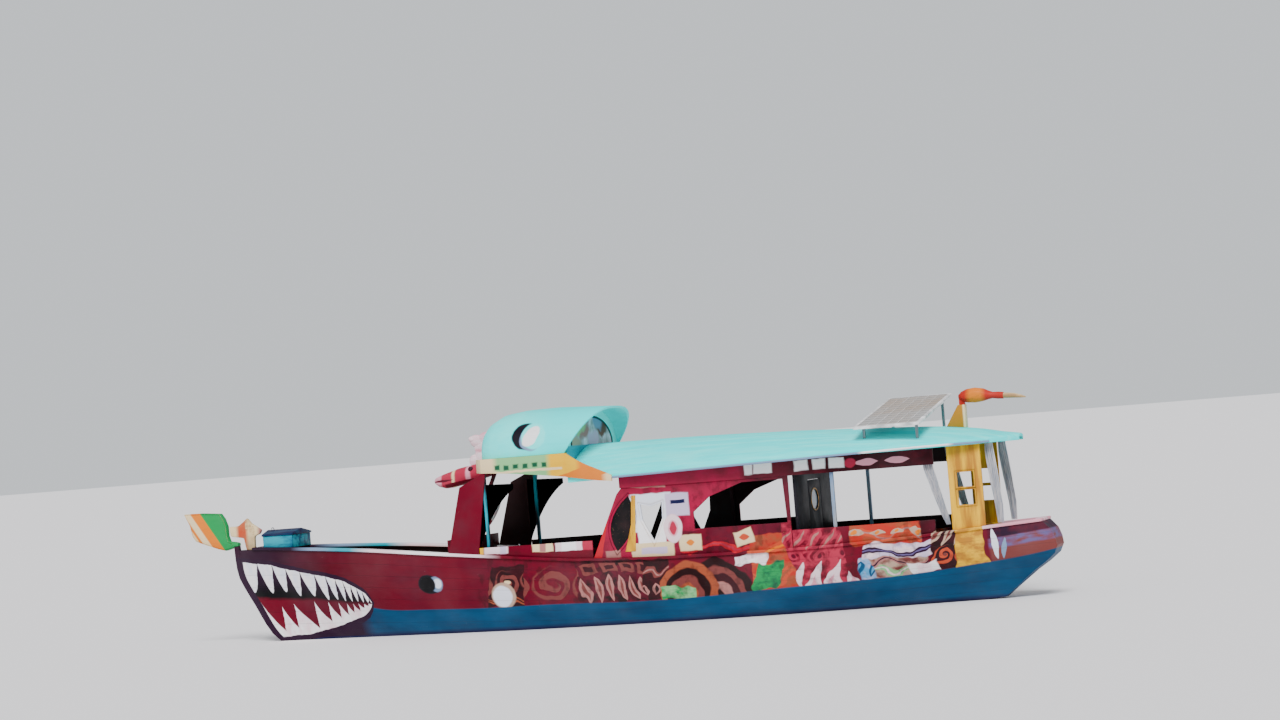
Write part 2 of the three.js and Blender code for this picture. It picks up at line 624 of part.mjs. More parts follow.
// Locker across the bow rails, with a lid that lifts about its aft edge.
function buildLocker() {
  const box = loft(places(LOCKER_X).map((x) => lockerRing(x, 0, railTop(x), LOCKER_TOP)));
  const inside = [LOCKER_X[0] + LOCKER_WALL, LOCKER_X[1] - LOCKER_WALL];
  const floor = railTop(LOCKER_X[1]) + LOCKER_WALL;
  const room = loft(inside.map((x) => lockerRing(x, LOCKER_WALL, floor, LOCKER_TOP + LOCKER_WALL)));
  add('bow_locker', cut(box, room), PALETTE.turquoise, 0.4);
  const low = LOCKER_TOP + GAP;
  const { over, edge, ridge } = LOCKER_LID;
  const lid = loft([LOCKER_X[0] - over, LOCKER_X[1] + over].map((x) => {
    const [[, starboard], [, port]] = lockerRing(x, -over, low, low);
    const slope = [[x, port, low + edge], [x, 0, low + ridge], [x, starboard, low + edge]];
    return [[x, starboard, low], [x, port, low], ...slope];
  }));
  add('bow_locker_lid', lid, PALETTE.teal, 0.4);
}

// Edge of a panel that stands on the rail, from one place to another.
function railEdge(from, to) {
  const count = Math.max(1, Math.ceil(Math.abs(to - from) / EDGE_STEP));
  return steps(from, to, count).map((x) => [x, railTop(x)]);
}

// Points of a quadratic curve.
function bow(start, bend, finish, count = 8) {
  const [from, through, to] = [start, bend, finish].map((point) => new THREE.Vector2(...point));
  return new THREE.QuadraticBezierCurve(from, through, to).getPoints(count).map((point) => [point.x, point.y]);
}

function buildHouseSides() {
  const { foot, head, shoulder, top } = FRONT_BOARD;
  const board = [...railEdge(foot[0], foot[1]), shoulder, [head[1], top], [head[0], top]];
  addPair('front_board', along(plate(board, 0, PANEL), foot[1], foot[0]), PALETTE.crimson);

  const coaming = (x, sill) => strip(places(x), (at) => [sideY(at) - PANEL, sideY(at), railTop(at), sill]);
  addPair('front_coaming', coaming(FRONT_COAMING_X, SILL_FRONT_Z), PALETTE.pink);
  addPair('aft_coaming', coaming(AFT_COAMING_X, SILL_AFT_Z), PALETTE.red);

  const [aft, fore] = SIDE_PANEL_X;
  const panel = [...railEdge(aft, fore), ...SIDE_PANEL_RAKE, [aft, VALANCE_Z - GAP]];
  const leaf = [...bow(LEAF_HOLE.foot, LEAF_HOLE.fore, LEAF_HOLE.head),
    ...bow(LEAF_HOLE.head, LEAF_HOLE.aft, LEAF_HOLE.foot).slice(1, -1)];
  const sheet = plate(panel, 0, PANEL, [WINDOW, SHIELD_HOLE, leaf]);
  addPair('side_panel', along(sheet, fore, aft), PALETTE.crimson);

  const valance = (at) => [sideY(at) - PANEL, sideY(at), VALANCE_Z, roofSeat(at, sideY(at)) - SEAM];
  addPair('valance', strip(places(VALANCE_X), valance), PALETTE.maroon);
}

// Side posts: forward under the lip band, the others under the roof.
function buildPosts() {
  const upright = (x, outer, top) => {
    const along = [x - POST / 2, x + POST / 2];
    return block(along, [outer - POST, outer], [Math.max(...along.map(railTop)), top]);
  };
  const underRoof = (x, outer) => Math.min(...[x - POST / 2, x + POST / 2].map((at) => roofSeat(at, outer)));
  const chord = (x) => {
    const [aft, fore] = SIDE_PANEL_X;
    return sideY(fore) + ((x - fore) * (sideY(aft) - sideY(fore))) / (aft - fore);
  };
  const inside = {
    front: sideY(POSTS_X.front) - PANEL - POST_CLEAR.front,
    mid: chord(POSTS_X.mid) - PANEL - POST_CLEAR.mid,
    aft: sideY(POSTS_X.aft) - PANEL - POST_CLEAR.aft,
  };
  addPair('front_post', upright(POSTS_X.front, inside.front, FRONT_POST_TOP), PALETTE.dark);
  addPair('mid_post', upright(POSTS_X.mid, inside.mid, underRoof(POSTS_X.mid, inside.mid)), PALETTE.maroon);
  addPair('aft_post', upright(POSTS_X.aft, inside.aft, underRoof(POSTS_X.aft, inside.aft)), PALETTE.slate);
}

// Carved boards with two openings on the quarters.
function buildQuarterBoards() {
  const [aft, fore] = QUARTER_BOARD_X;
  const under = [fore, aft].map((x) => [x, roofSeat(x, sideY(x))]);
  const outline = [...railEdge(aft, fore), ...under];
  const [left, right] = QUARTER_HOLE_X;
  const holes = QUARTER_HOLES_Z.map(([low, high]) => [[left, low], [right, low], [right, high], [left, high]]);
  addPair('quarter_board', along(plate(outline, 0, QUARTER_BOARD_THICK, holes), fore, aft), PALETTE.ochre);
}

function buildRoof() {
  const rings = steps(ROOF_AFT_X, ROOF_FORE_X, ROOF_STATIONS).map((x) => {
    const half = ROOF_HALF(x);
    const inner = half - ROOF_LIP_WIDE;
    const eave = ROOF_EAVE(x);
    const outside = steps(half, -half, ROOF_ARC).map((y) => [x, y, roofTop(x, y)]);
    const inside = steps(-inner, inner, ROOF_ARC).map((y) => [x, y, roofTop(x, y) - ROOF_THICK]);
    return [...outside, [x, -half, eave], [x, -inner, eave], ...inside, [x, inner, eave], [x, half, eave]];
  });
  add('roof', loft(rings), PALETTE.turquoise, 0.35);
}

// Arch across the boat. The rake draws its crown aft of its feet.
function cowlRing(x, half, base, top, rake = 0) {
  return steps(0, Math.PI, COWL_ARC).map((angle) => {
    const across = Math.sign(Math.cos(angle)) * Math.abs(Math.cos(angle)) ** (2 / COWL_POWER);
    const up = Math.abs(Math.sin(angle)) ** (2 / COWL_POWER);
    const share = up < NEAR_ZERO ? 0 : up;
    return [x - rake * share, Math.abs(across) < NEAR_ZERO ? 0 : half * across, base + (top - base) * share];
  });
}

function buildCowl() {
  const rake = (i) => (i === 0 ? COWL_RAKE : 0);
  const outside = COWL.map(([x, half, top], i) => cowlRing(x, half, COWL_BASE_Z, top, rake(i)));
  const last = COWL.length - 1;
  const inside = COWL.map(([x, half, top], i) => {
    const shift = (i === last ? -COWL_WALL : 0) - (i === 0 ? COWL_WALL : 0);
    return cowlRing(x + shift, half - COWL_WALL, COWL_BASE_Z - COWL_WALL, top - COWL_WALL, rake(i));
  });
  add('cowl', cut(loft(outside), loft(inside)), PALETTE.turquoise, 0.35);
  buildCowlBack(inside);
  buildLipBand();
}

// Board across the cowl where the roof ends, cut to the cowl's inner face.
function buildCowlBack(inside) {
  const { half: side, x: [aft, fore], least } = COWL_BACK;
  const arch = inside[0].map(([x0, y0, z0], i) => {
    const [x1, y1, z1] = inside[1][i];
    const at = (low, high, x) => low + ((high - low) * (x - x0)) / (x1 - x0);
    return [at(y0, y1, fore), at(z0, z1, aft) - 2 * SEAM];
  });
  const over = arch.filter(([, z]) => z > COWL_BASE_Z)
    .map(([y, z]) => [Math.max(-side, Math.min(side, y)), z]);
  const under = steps(-side, side, ROOF_ARC).map((y) => [y, roofTop(ROOF_FORE_X, y) - ROOF_THICK]);
  const outline = [...over, ...under].filter(([y, z], i, all) => {
    const [beforeY, beforeZ] = all[(i + all.length - 1) % all.length];
    return Math.hypot(y - beforeY, z - beforeZ) > least;
  });
  const ring = (x) => outline.map(([y, z]) => [x, y, z]);
  add('cowl_back', loft([ring(aft + 2 * GAP), ring(fore - GAP)]), PALETTE.slate);
}

// Band that carries the cowl round the front and tapers aft along the eaves.
function buildLipBand() {
  const tail = LIP_TAIL.map(([x, low, high]) => {
    const inner = ROOF_HALF(x) + 2 * SEAM;
    return [x, inner + LIP_TAIL_THICK, x, inner, low, high];
  });
  const port = [...tail, ...LIP_FRONT.map((row) => [...row, LIP_TOP])];
  const starboard = port.slice(0, -1).reverse()
    .map(([outerX, outerY, innerX, innerY, low, high]) => [outerX, -outerY, innerX, -innerY, low, high]);
  const sections = [...port, ...starboard].map(([outerX, outerY, innerX, innerY, low, high]) => [
    [outerX, outerY, low], [outerX, outerY, high], [innerX, innerY, high], [innerX, innerY, low]]);
  add('lip_band', loft(sections), PALETTE.orange, 0.45);
}

// Rounded rings along the boat: [distance forward, height of the middle, half width, half height].
function body(rows, sides = 14) {
  return loft(rows.map(([x, z, half, tall]) => steps(0, 2 * Math.PI, sides).slice(0, -1)
    .map((angle) => [x, half * Math.cos(angle), z + tall * Math.sin(angle)])));
}

function buildBrowHead() {
  const crest = plate(BROW_CREST, CREST_HALF, 2 * CREST_HALF);
  add('brow_head', join(body(BROW_HEAD), crest), PALETTE.red, 0.5);
}

// Dash between the front boards, the post in the middle of the open windscreen and the ring that hangs on it.
function buildCabFront() {
  const low = sheerEdge(DASH_X[1]) + SEAM;
  const rail = railTop(DASH_X[1]);
  const foot = sheerHalf(DASH_X[0]) - RAIL_IN - DASH_CLEAR.rail;
  const wide = sideY(DASH_X[0]) - PANEL - DASH_CLEAR.board;
  const port = [[foot, low], [foot, rail], [wide, rail], [wide, DASH_TOP]];
  const outline = [...port, ...port.map(([y, z]) => [-y, z]).reverse()];
  const dash = loft(DASH_X.map((x) => outline.map(([y, z]) => [x, y, z])));

  const { half, foot: base, head, top, tenon } = SCREEN_POST;
  const lower = base.map((x) => [x, DASH_TOP - tenon]);
  const upper = head.map((x) => [x, top - GAP]).reverse();
  const mullion = [...lower, [base[1], DASH_TOP], ...upper, [base[0], DASH_TOP]];
  add('cab_front', join(dash, plate(mullion, half, 2 * half)), PALETTE.crimson);

  const rake = (base[0] - head[0]) / (top - DASH_TOP);
  const lean = Math.atan(rake);
  const face = base[0] - (LIFEBUOY.z - DASH_TOP) * rake;
  const centre = face - (LIFEBUOY.tube + SEAM) / Math.cos(lean);
  const ring = new THREE.TorusGeometry(LIFEBUOY.ring, LIFEBUOY.tube, 12, 28).rotateY(Math.PI / 2 - lean);
  add('lifebuoy', ring.translate(centre, 0, LIFEBUOY.z), PALETTE.white, 0.6);
}

function buildHelm() {
  const { x, half, top } = CONSOLE;
  const bore = shaft(WHEEL.shaft + 2 * GAP, [x[0] - SEAM, WHEEL.boreEnd], 0, WHEEL.z);
  add('helm_console', cut(block(x, [-half, half], [SOLE_TOP, top]), bore), PALETTE.wood);

  const rim = new THREE.TorusGeometry(WHEEL.rim, WHEEL.bar, 8, 32).rotateY(Math.PI / 2);
  const spokes = [0, 1, 2]
    .map((i) => new THREE.BoxGeometry(...WHEEL.spoke, 2 * WHEEL.rim).rotateX((i * Math.PI) / 3));
  const placed = [rim, ...spokes].map((piece) => piece.translate(WHEEL.x, 0, WHEEL.z));
  const hub = shaft(WHEEL.hub, WHEEL.hubX, 0, WHEEL.z);
  const axle = shaft(WHEEL.shaft, [WHEEL.x, WHEEL.shaftEnd], 0, WHEEL.z);
  add('steering_wheel', join(placed[0], hub, axle, ...placed.slice(1)), PALETTE.wood);

  const across = [-SEAT.half, SEAT.half];
  const legs = [SEAT.x[0], SEAT.x[1] - SEAT.board]
    .map((at) => block([at, at + SEAT.board], across, [SOLE_TOP, SEAT.top]));
  add('helm_seat', join(block(SEAT.x, across, [SEAT.top - SEAT.board, SEAT.top]), ...legs), PALETTE.wood);
}

function buildCabin() {
  const { x, y, top, board } = BENCH;
  const front = block(x, [y[0], y[0] + board], [SOLE_TOP, top]);
  addPair('bench', join(front, block(x, y, [top - board, top])), PALETTE.wood);

  const aft = BULKHEAD_X[0];
  const wide = sheerHalf(aft) - RAIL_IN - BULKHEAD_RAIL_CLEAR;
  const inHull = (z) => halfAt(shareAt(aft, z), z) - HULL_WALL - BULKHEAD_MARGIN;
  const side = [SOLE_TOP, ...BULKHEAD_SIDE_Z].map((z) => [Math.min(wide, inHull(z)), z]);
  const over = steps(wide, -wide, BULKHEAD_HEAD_STEPS).map((at) => [at, roofSeat(aft, at) - SEAM]);
  const way = DOORWAY;
  const outline = [[way.half, SOLE_TOP], ...side, ...over, ...side.map(([at, z]) => [-at, z]).reverse(),
    [-way.half, SOLE_TOP], [-way.half, way.top], [way.half, way.top]];
  const faces = BULKHEAD_X.map((at) => outline.map(([across, z]) => [at, across, z]));
  add('cabin_bulkhead', loft(faces), PALETTE.dark);
  buildDoor();
}

// Door with an oval light, on two knuckles just clear of the bulkhead.
function buildDoor() {
  const panel = block(DOOR.x, [-DOOR.half, DOOR.half], [SOLE_TOP + DOOR.low, DOOR.top]);
  const { r, wide, depth } = DOOR_LIGHT;
  const light = new THREE.CylinderGeometry(r, r, depth, 28).rotateZ(Math.PI / 2)
    .scale(1, wide, 1).translate(DOOR.x[0], 0, DOOR_LIGHT.z);
  const { leaf, edge, stand } = HINGE;
  const axis = BULKHEAD_X[1] + GAP + HINGE.r;
  const hinges = HINGE.z.flatMap((z) => [
    post(HINGE.r, axis, DOORWAY.half, [z, z + HINGE.tall], 16),
    block([DOOR.x[1] - HINGE.r, axis], [DOOR.half - leaf, DOOR.half - edge], [z, z + HINGE.tall]),
    block([BULKHEAD_X[1] + stand, axis], [DOOR.half - stand, DOORWAY.half], [z, z + HINGE.tall]),
  ]);
  add('cabin_door', join(cut(panel, light), ...hinges), PALETTE.dark);
}

function buildEngine() {
  const { x, half, top, wall, lidOver } = ENGINE_BOX;
  const inside = block([x[0] + wall, x[1] - wall], [wall - half, half - wall], [0, top + wall]);
  add('engine_box', cut(block(x, [-half, half], [SOLE_TOP, top]), inside), PALETTE.wood);
  const across = [-half - lidOver, half + lidOver];
  const lid = block([x[0] - lidOver, x[1] + lidOver], across, [top + GAP, top + wall]);
  add('engine_lid', lid, PALETTE.wood);
  const engine = block(ENGINE.x, [-ENGINE.half, ENGINE.half], [SOLE_TOP, ENGINE.top]);
  add('engine', engine, PALETTE.steel, 0.5, 0.6);
}

function solarUnder(y) {
  return SOLAR_LOW_Z + ((SOLAR_HALF - y) / (2 * SOLAR_HALF)) * SOLAR_RISE;
}

// Upright or level bar between two heights that vary across the boat.
function bar(x, y, lowAt, highAt) {
  return loft(x.map((at) => {
    const [low, high] = [y.map((across) => lowAt(at, across)), y.map((across) => highAt(at, across))];
    return [[at, y[0], low[0]], [at, y[1], low[1]], [at, y[1], high[1]], [at, y[0], high[0]]];
  }));
}

// Tilted panel on four legs across the roof.
function buildSolar() {
  const under = (x, y) => solarUnder(y);
  const over = (x, y) => solarUnder(y) + SOLAR_THICK;
  add('solar_panel', bar(SOLAR_X, [-SOLAR_HALF, SOLAR_HALF], under, over), PALETTE.slate, 0.25);
  const seat = (x, y) => solarUnder(y) - GAP;
  const below = (x, y) => solarUnder(y) - STAND_BAR;
  const from = (at) => [at, at + STAND_BAR];
  const legs = STAND_X.flatMap((x) => STAND_Y.map((y) => bar(from(x), from(y), roofSkin, seat)));
  const runners = STAND_Y.map((y) => bar([STAND_X[0], STAND_X[1] + STAND_BAR], from(y), below, seat));
  const crosses = STAND_X.map((x) => bar(from(x), STAND_Y, below, seat));
  add('solar_stand', join(...legs, ...runners, ...crosses), PALETTE.steel, 0.45, 0.5);
}

function buildRoofCarving() {
  const { foot, head, top, half } = MAST;
  const mast = [...steps(...foot, 6).map((x) => [x, roofSkin(x, 0)]), [head[1], top], [head[0], top]];
  add('roof_mast', plate(mast, half, 2 * half), PALETTE.ochre);
  const peg = block(FINIAL_PEG.x, [-FINIAL_PEG.half, FINIAL_PEG.half], [top + GAP, FINIAL_PEG.top]);
  add('finial_bird', join(body(FINIAL), peg), PALETTE.orange);
}

// Bunched nets between the roof and the rail: [x, y, z, radius along, radius across] from foot to head.
function bundle(rows, sides = 10) {
  const rings = rows.map(([x, y, z, rx, ry]) => steps(0, 2 * Math.PI, sides).slice(0, -1)
    .map((angle) => [z, x + rx * Math.cos(angle), y + ry * Math.sin(angle)]));
  const lying = loft(rings);
  const p = lying.attributes.position;
  for (let i = 0; i < p.count; i += 1) p.setXYZ(i, p.getY(i), p.getZ(i), p.getX(i));
  return lying;
}

function buildNets() {
  const line = sideY(NET_FORE.x) - PANEL - NET_FORE.inside;
  const fore = NET_FORE.rows.map(([x, inside, z, ...r]) => [x, line - inside, z, ...r]);
  const foreSeat = roofSeat(NET_FORE_HEAD.readAt[0], line + NET_FORE_HEAD.readAt[1]) + SEAM / 2;
  const foreHead = [NET_FORE_HEAD.x, line, foreSeat, ...NET_FORE_HEAD.r];
  addPair('net_fore', bundle([...fore, foreHead]), PALETTE.white, 0.9);

  const [footX, ...footR] = NET_AFT.foot;
  const foot = [footX, NET_AFT.y, railTop(footX - footR[0]), ...footR];
  const aft = NET_AFT.rows.map(([x, inside, z, ...r]) => [x, NET_AFT.y - inside, z, ...r]);
  const { x: headX, inside: headInside, readAt, r: headR } = NET_AFT_HEAD;
  const head = [headX, NET_AFT.y - headInside, roofSeat(readAt[0], NET_AFT.y + readAt[1]), ...headR];
  addPair('net_aft', bundle([foot, ...aft, head]), PALETTE.white, 0.9);
}

function buildStern() {
  const { thick, wide } = PROPELLER_BLADE;
  const reach = PROPELLER_R - 2 * BLADE_ROOT;
  const blades = [0, 1, 2].map((i) => new THREE.BoxGeometry(thick, wide, reach)
    .translate(0, 0, PROPELLER_R - reach / 2).rotateZ(BLADE_TURN).rotateX((i * 2 * Math.PI) / 3)
    .translate(PROPELLER_X, 0, SHAFT_Z));
  const hubX = [PROPELLER_X - PROPELLER_HUB.half, PROPELLER_X + PROPELLER_HUB.half];
  const hub = shaft(PROPELLER_HUB.r, hubX, 0, SHAFT_Z);
  const line = shaft(SHAFT_R, [PROPELLER_X, SHAFT_END_X], 0, SHAFT_Z);
  add('propeller', join(hub, line, ...blades), PALETTE.bronze, 0.4, 0.8);

  const stock = post(STOCK_R, RUDDER_X, 0, [HEEL_PIN.z[1], STOCK_TOP]);
  const pin = post(HEEL_PIN.r, RUDDER_X, 0, HEEL_PIN.z);
  const tiller = block(TILLER.x, [-TILLER.half, TILLER.half], TILLER.z);
  add('rudder', join(plate(BLADE, BLADE_HALF, 2 * BLADE_HALF), stock, pin, tiller), PALETTE.teal, 0.6);
}

buildHull();
buildGunwales();
buildBackbone();
buildBowCarvings();
buildLocker();
buildHouseSides();
buildPosts();
buildQuarterBoards();
buildRoof();
buildCowl();
buildBrowHead();
buildCabFront();
buildHelm();
buildCabin();
buildEngine();
buildSolar();
buildRoofCarving();
buildNets();
buildStern();

export default boat;
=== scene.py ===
"""Looks of a painted wooden fishing boat with a canopy roof: its finishes, painted ornament and fine pieces."""

from __future__ import annotations

import json
import logging
import math
from dataclasses import dataclass
from enum import Enum
from functools import lru_cache, partialmethod
from typing import Iterable, Sequence

import bmesh
import bpy
from mathutils import Matrix, Vector
from mathutils.bvhtree import BVHTree


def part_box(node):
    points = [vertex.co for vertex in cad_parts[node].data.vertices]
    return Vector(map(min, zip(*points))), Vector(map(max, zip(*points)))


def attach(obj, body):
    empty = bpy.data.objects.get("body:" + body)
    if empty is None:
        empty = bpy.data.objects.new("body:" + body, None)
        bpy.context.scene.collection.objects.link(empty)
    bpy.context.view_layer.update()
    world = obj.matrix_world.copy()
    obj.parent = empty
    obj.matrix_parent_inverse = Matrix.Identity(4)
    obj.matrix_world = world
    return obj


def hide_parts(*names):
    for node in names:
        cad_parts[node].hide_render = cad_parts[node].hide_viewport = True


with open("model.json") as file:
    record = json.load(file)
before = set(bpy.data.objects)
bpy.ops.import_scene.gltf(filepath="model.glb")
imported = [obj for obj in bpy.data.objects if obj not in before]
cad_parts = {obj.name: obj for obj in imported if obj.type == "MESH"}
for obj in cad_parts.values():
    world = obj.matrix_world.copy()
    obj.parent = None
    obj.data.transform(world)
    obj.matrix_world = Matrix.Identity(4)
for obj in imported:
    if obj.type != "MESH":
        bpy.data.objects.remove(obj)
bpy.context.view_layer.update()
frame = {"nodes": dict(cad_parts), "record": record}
LOG = logging.getLogger("boat")

Point = tuple[float, float]
Place = tuple[float, float, float]
Socket = bpy.types.NodeSocket
Shape = bmesh.types.BMesh
BODY_OF = {node: body for body, nodes in frame["record"]["behaviour"]["bodies"].items() for node in nodes}
SIDES = ("port", "starboard")


class Tint(Enum):
    """Paint and material colours, as seen in even daylight."""

    CRIMSON = "#68001e"
    PINK_CRIMSON = "#a00c3c"
    MAROON = "#360612"
    WINE = "#5a0520"
    DARK_BROWN = "#22080b"
    ROSEWOOD = "#773835"
    DUSTY = "#ab716c"
    NAVY = "#0a1040"
    TEAL = "#004a72"
    DEEP_TEAL = "#003658"
    TURQUOISE = "#10f4f4"
    PALE_TURQUOISE = "#58fcf8"
    SEA = "#10a0b4"
    SKY = "#4f9fd0"
    SLATE_BLUE = "#7b95b6"
    PINK = "#e39aac"
    PINK_WHITE = "#f0d4dc"
    ROSE = "#b02844"
    WHITE = "#fbf8fa"
    COOL_WHITE = "#e6eaf8"
    CREAM = "#ecd3a4"
    BEIGE = "#b89a86"
    OCHRE = "#b67a20"
    YELLOW = "#f0b81c"
    ORANGE = "#e07a1c"
    SALMON = "#c4482a"
    SCARLET = "#b8281c"
    RUST = "#9c4a2e"
    RED = "#c01026"
    GREEN = "#00924a"
    LEAF = "#86c083"
    DARK_GREEN = "#14543a"
    LILAC = "#645688"
    LILAC_WHITE = "#cbbad8"
    PURPLE = "#260826"
    BROWN = "#6a3d2a"
    BLACK = "#050508"
    SHADOW = "#14101c"
    WOOD = "#8b6a48"
    DARK_WOOD = "#4b3526"
    OAK = "#a8845a"
    GREY = "#9a9c9e"
    STEEL = "#80858a"
    BRONZE = "#a9803f"
    CELL = "#aeaaa8"


# Distance forward from which each colour starts, with the first colour before all.
Stops = tuple[tuple[float, Tint], ...]


@lru_cache(maxsize=None)
def linear(tint: Tint) -> tuple[float, float, float, float]:
    """Linear colour with alpha of a tint."""
    parts = [int(tint.value[i : i + 2], 16) / 255 for i in (1, 3, 5)]
    return (*[p / 12.92 if p <= 0.04045 else ((p + 0.055) / 1.055) ** 2.4 for p in parts], 1.0)


class Graph:
    """Node tree of one material, with short calls for the nodes that the finishes share."""

    def __init__(self, name: str) -> None:
        """Start a material whose patterns read Object coordinates.

        Args:
            name: The material's name.
        """
        self.material = bpy.data.materials.new(name)
        self.material.use_nodes = True
        self.nodes = self.material.node_tree.nodes
        self.links = self.material.node_tree.links
        self.shader = self.nodes["Principled BSDF"]
        spots = self.nodes.new("ShaderNodeTexCoord").outputs
        self.place = spots["Object"]
        self.facing = spots["Normal"]
        self.x, self.y, self.z = self.split(self.place)

    def add(self, kind: str, feeds: dict | None = None, **settings: object) -> bpy.types.Node:
        """Add a node.

        Args:
            kind: Blender's name of the node type.
            feeds: Input key to a socket or a plain value.
            **settings: Attributes of the node itself.

        Returns:
            The new node.
        """
        node = self.nodes.new(kind)
        for key, value in settings.items():
            setattr(node, key, value)
        for key, value in (feeds or {}).items():
            self.feed(node.inputs[key], value)
        return node

    def feed(self, socket: Socket, value: object) -> None:
        """Link a socket, or set a tint or a plain value, into an input.

        Args:
            socket: The input.
            value: What it takes.
        """
        if isinstance(value, Socket):
            self.links.new(value, socket)
        else:
            socket.default_value = linear(value) if isinstance(value, Tint) else value

    def op(self, operation: str, *values: object) -> Socket:
        """Result of one math operation on sockets or numbers."""
        return self.add("ShaderNodeMath", dict(enumerate(values)), operation=operation).outputs[0]

    # Product, sum, difference, ratio, a * b + c, size without sign, part after the point, greater of two.
    times = partialmethod(op, "MULTIPLY")
    plus = partialmethod(op, "ADD")
    minus = partialmethod(op, "SUBTRACT")
    over = partialmethod(op, "DIVIDE")
    line = partialmethod(op, "MULTIPLY_ADD")
    size = partialmethod(op, "ABSOLUTE")
    rest = partialmethod(op, "FRACT")
    most = partialmethod(op, "MAXIMUM")

    def split(self, vector: Socket) -> Sequence[Socket]:
        """The three parts of a vector."""
        return self.add("ShaderNodeSeparateXYZ", {0: vector}).outputs

    def squares(self, u: Socket, v: Socket) -> Socket:
        """Sum of two squares."""
        return self.plus(self.times(u, u), self.times(v, v))

    def radius(self, u: Socket, v: Socket) -> Socket:
        """Distance of a place from the middle."""
        return self.op("SQRT", self.squares(u, v))

    def turn_of(self, u: Socket, v: Socket) -> Socket:
        """Angle of a place about the middle, in whole turns."""
        return self.over(self.op("ARCTAN2", v, u), 2 * math.pi)

    def inboard(self) -> Socket:
        """Mask of the faces that look towards the centreline, where painted shade of the inside goes."""
        outward = self.times(self.op("SIGN", self.y), self.split(self.facing)[1])
        return self.above(-0.35, outward, 0.1)

    def mix(self, share: object, first: object, second: object) -> Socket:
        """Colour between two others by a share from 0 to 1."""
        return self.add("ShaderNodeMix", {0: share, 6: first, 7: second}, data_type="RGBA").outputs[2]

    def slope(self, value: object, low: float, high: float) -> Socket:
        """Rise from 0 to 1 as a value goes from low to high, held beyond both."""
        return self.add("ShaderNodeMapRange", {"Value": value, "From Min": low, "From Max": high}).outputs[0]

    def above(self, value: object, limit: object, soft: float = 0.004) -> Socket:
        """Mask of where one socket or number is above another.

        Args:
            value: A socket or a number.
            limit: A socket, or a number where the value is a socket.
            soft: Half width of the mask's edge.

        Returns:
            1 where the value is above the limit and 0 elsewhere.
        """
        if not isinstance(limit, Socket):
            return self.slope(value, limit - soft, limit + soft)
        if not isinstance(value, Socket):
            return self.slope(limit, value + soft, value - soft)
        return self.slope(self.minus(value, limit), -soft, soft)

    def within(self, value: Socket, low: object, high: object, soft: float = 0.004,
               fade: float | None = None) -> Socket:
        """Mask of where a socket lies between two limits.

        Args:
            value: The socket.
            low: Lower limit.
            high: Upper limit.
            soft: Half width of the mask's edges.
            fade: Half width of its upper edge, where that differs.

        Returns:
            1 between the limits and 0 elsewhere.
        """
        return self.times(self.above(high, value, fade or soft), self.above(value, low, soft))

    def mapped(self, scale: Place = (1, 1, 1), turn: Place = (0, 0, 0)) -> Socket:
        """Object coordinates scaled and turned."""
        feeds = {"Vector": self.place, "Scale": scale, "Rotation": turn}
        return self.add("ShaderNodeMapping", feeds).outputs[0]

    def noise(self, scale: float, detail: float = 4.0, stretch: Place = (1, 1, 1), rough: float = 0.55) -> Socket:
        """Noise from 0 to 1 at a scale in cells a metre."""
        feeds = {"Vector": self.mapped(stretch), "Scale": scale, "Detail": detail, "Roughness": rough}
        return self.add("ShaderNodeTexNoise", feeds).outputs[0]

    def profile(self, value: Socket, points: Sequence[Point], span: Point, reach: Point) -> Socket:
        """Smooth curve through points.

        Args:
            value: The socket that is looked up.
            points: Pairs of value and result in real units.
            span: Lowest and highest value that the curve covers.
            reach: Lowest and highest result that the curve covers.

        Returns:
            The result in real units.
        """
        wide, tall = span[1] - span[0], reach[1] - reach[0]
        node = self.add("ShaderNodeFloatCurve", {"Value": self.over(self.minus(value, span[0]), wide)})
        curve = node.mapping.curves[0]
        ordered = sorted(((v - span[0]) / wide, (r - reach[0]) / tall) for v, r in points)
        curve.points[0].location = ordered[0]
        curve.points[1].location = ordered[-1]
        for spot in ordered[1:-1]:
            curve.points.new(*spot)
        node.mapping.update()
        return self.line(node.outputs[0], tall, reach[0])

    def bump(self, height: Socket, distance: float) -> Socket:
        """Normal bent by a height that spans a distance in metres."""
        return self.add("ShaderNodeBump", {"Height": height, "Distance": distance, "Strength": 1.0}).outputs[0]

    def close(self, colour: object, rough: object, normal: Socket, metal: float = 0.0,
              gloss: float = 0.1) -> bpy.types.Material:
        """Feed the shader.

        Args:
            colour: Base colour.
            rough: Roughness.
            normal: The bent normal.
            metal: 1 for bare metal.
            gloss: Specular level.

        Returns:
            The finished material.
        """
        feeds = {"Base Color": colour, "Roughness": rough, "Normal": normal, "Metallic": metal,
                 "Specular IOR Level": gloss}
        for key, value in feeds.items():
            self.feed(self.shader.inputs[key], value)
        return self.material


# Ageing: share of white in faded paint, of streaks, of shadow in a streak, and of bare wood or metal in a chip.
FADE, STREAKED, GRIME, CHIPPED = 0.02, 0.16, 0.55, 0.6


def weathered(g: Graph, colour: object, under: Tint, wear: float) -> Socket:
    """Fade, streaks and worn spots over a colour.

    Args:
        g: The material's graph.
        colour: The paint as it was laid.
        under: What shows where the paint has gone.
        wear: Share of the surface that is worn, from 0 to about 0.3.

    Returns:
        The aged colour.
    """
    faded = g.mix(g.slope(g.noise(1.3, 3), 0.35, 0.75), colour, g.mix(FADE, colour, Tint.WHITE))
    streak = g.slope(g.noise(9, 4, (0.25, 0.25, 1.6)), 0.5, 0.85)
    dirty = g.mix(g.times(streak, STREAKED), faded, g.mix(GRIME, faded, Tint.SHADOW))
    chips = g.slope(g.noise(34, 6, (0.6, 1, 1.4), 0.7), 0.71 - wear, 0.74 - wear)
    return g.mix(g.times(chips, CHIPPED), dirty, under)


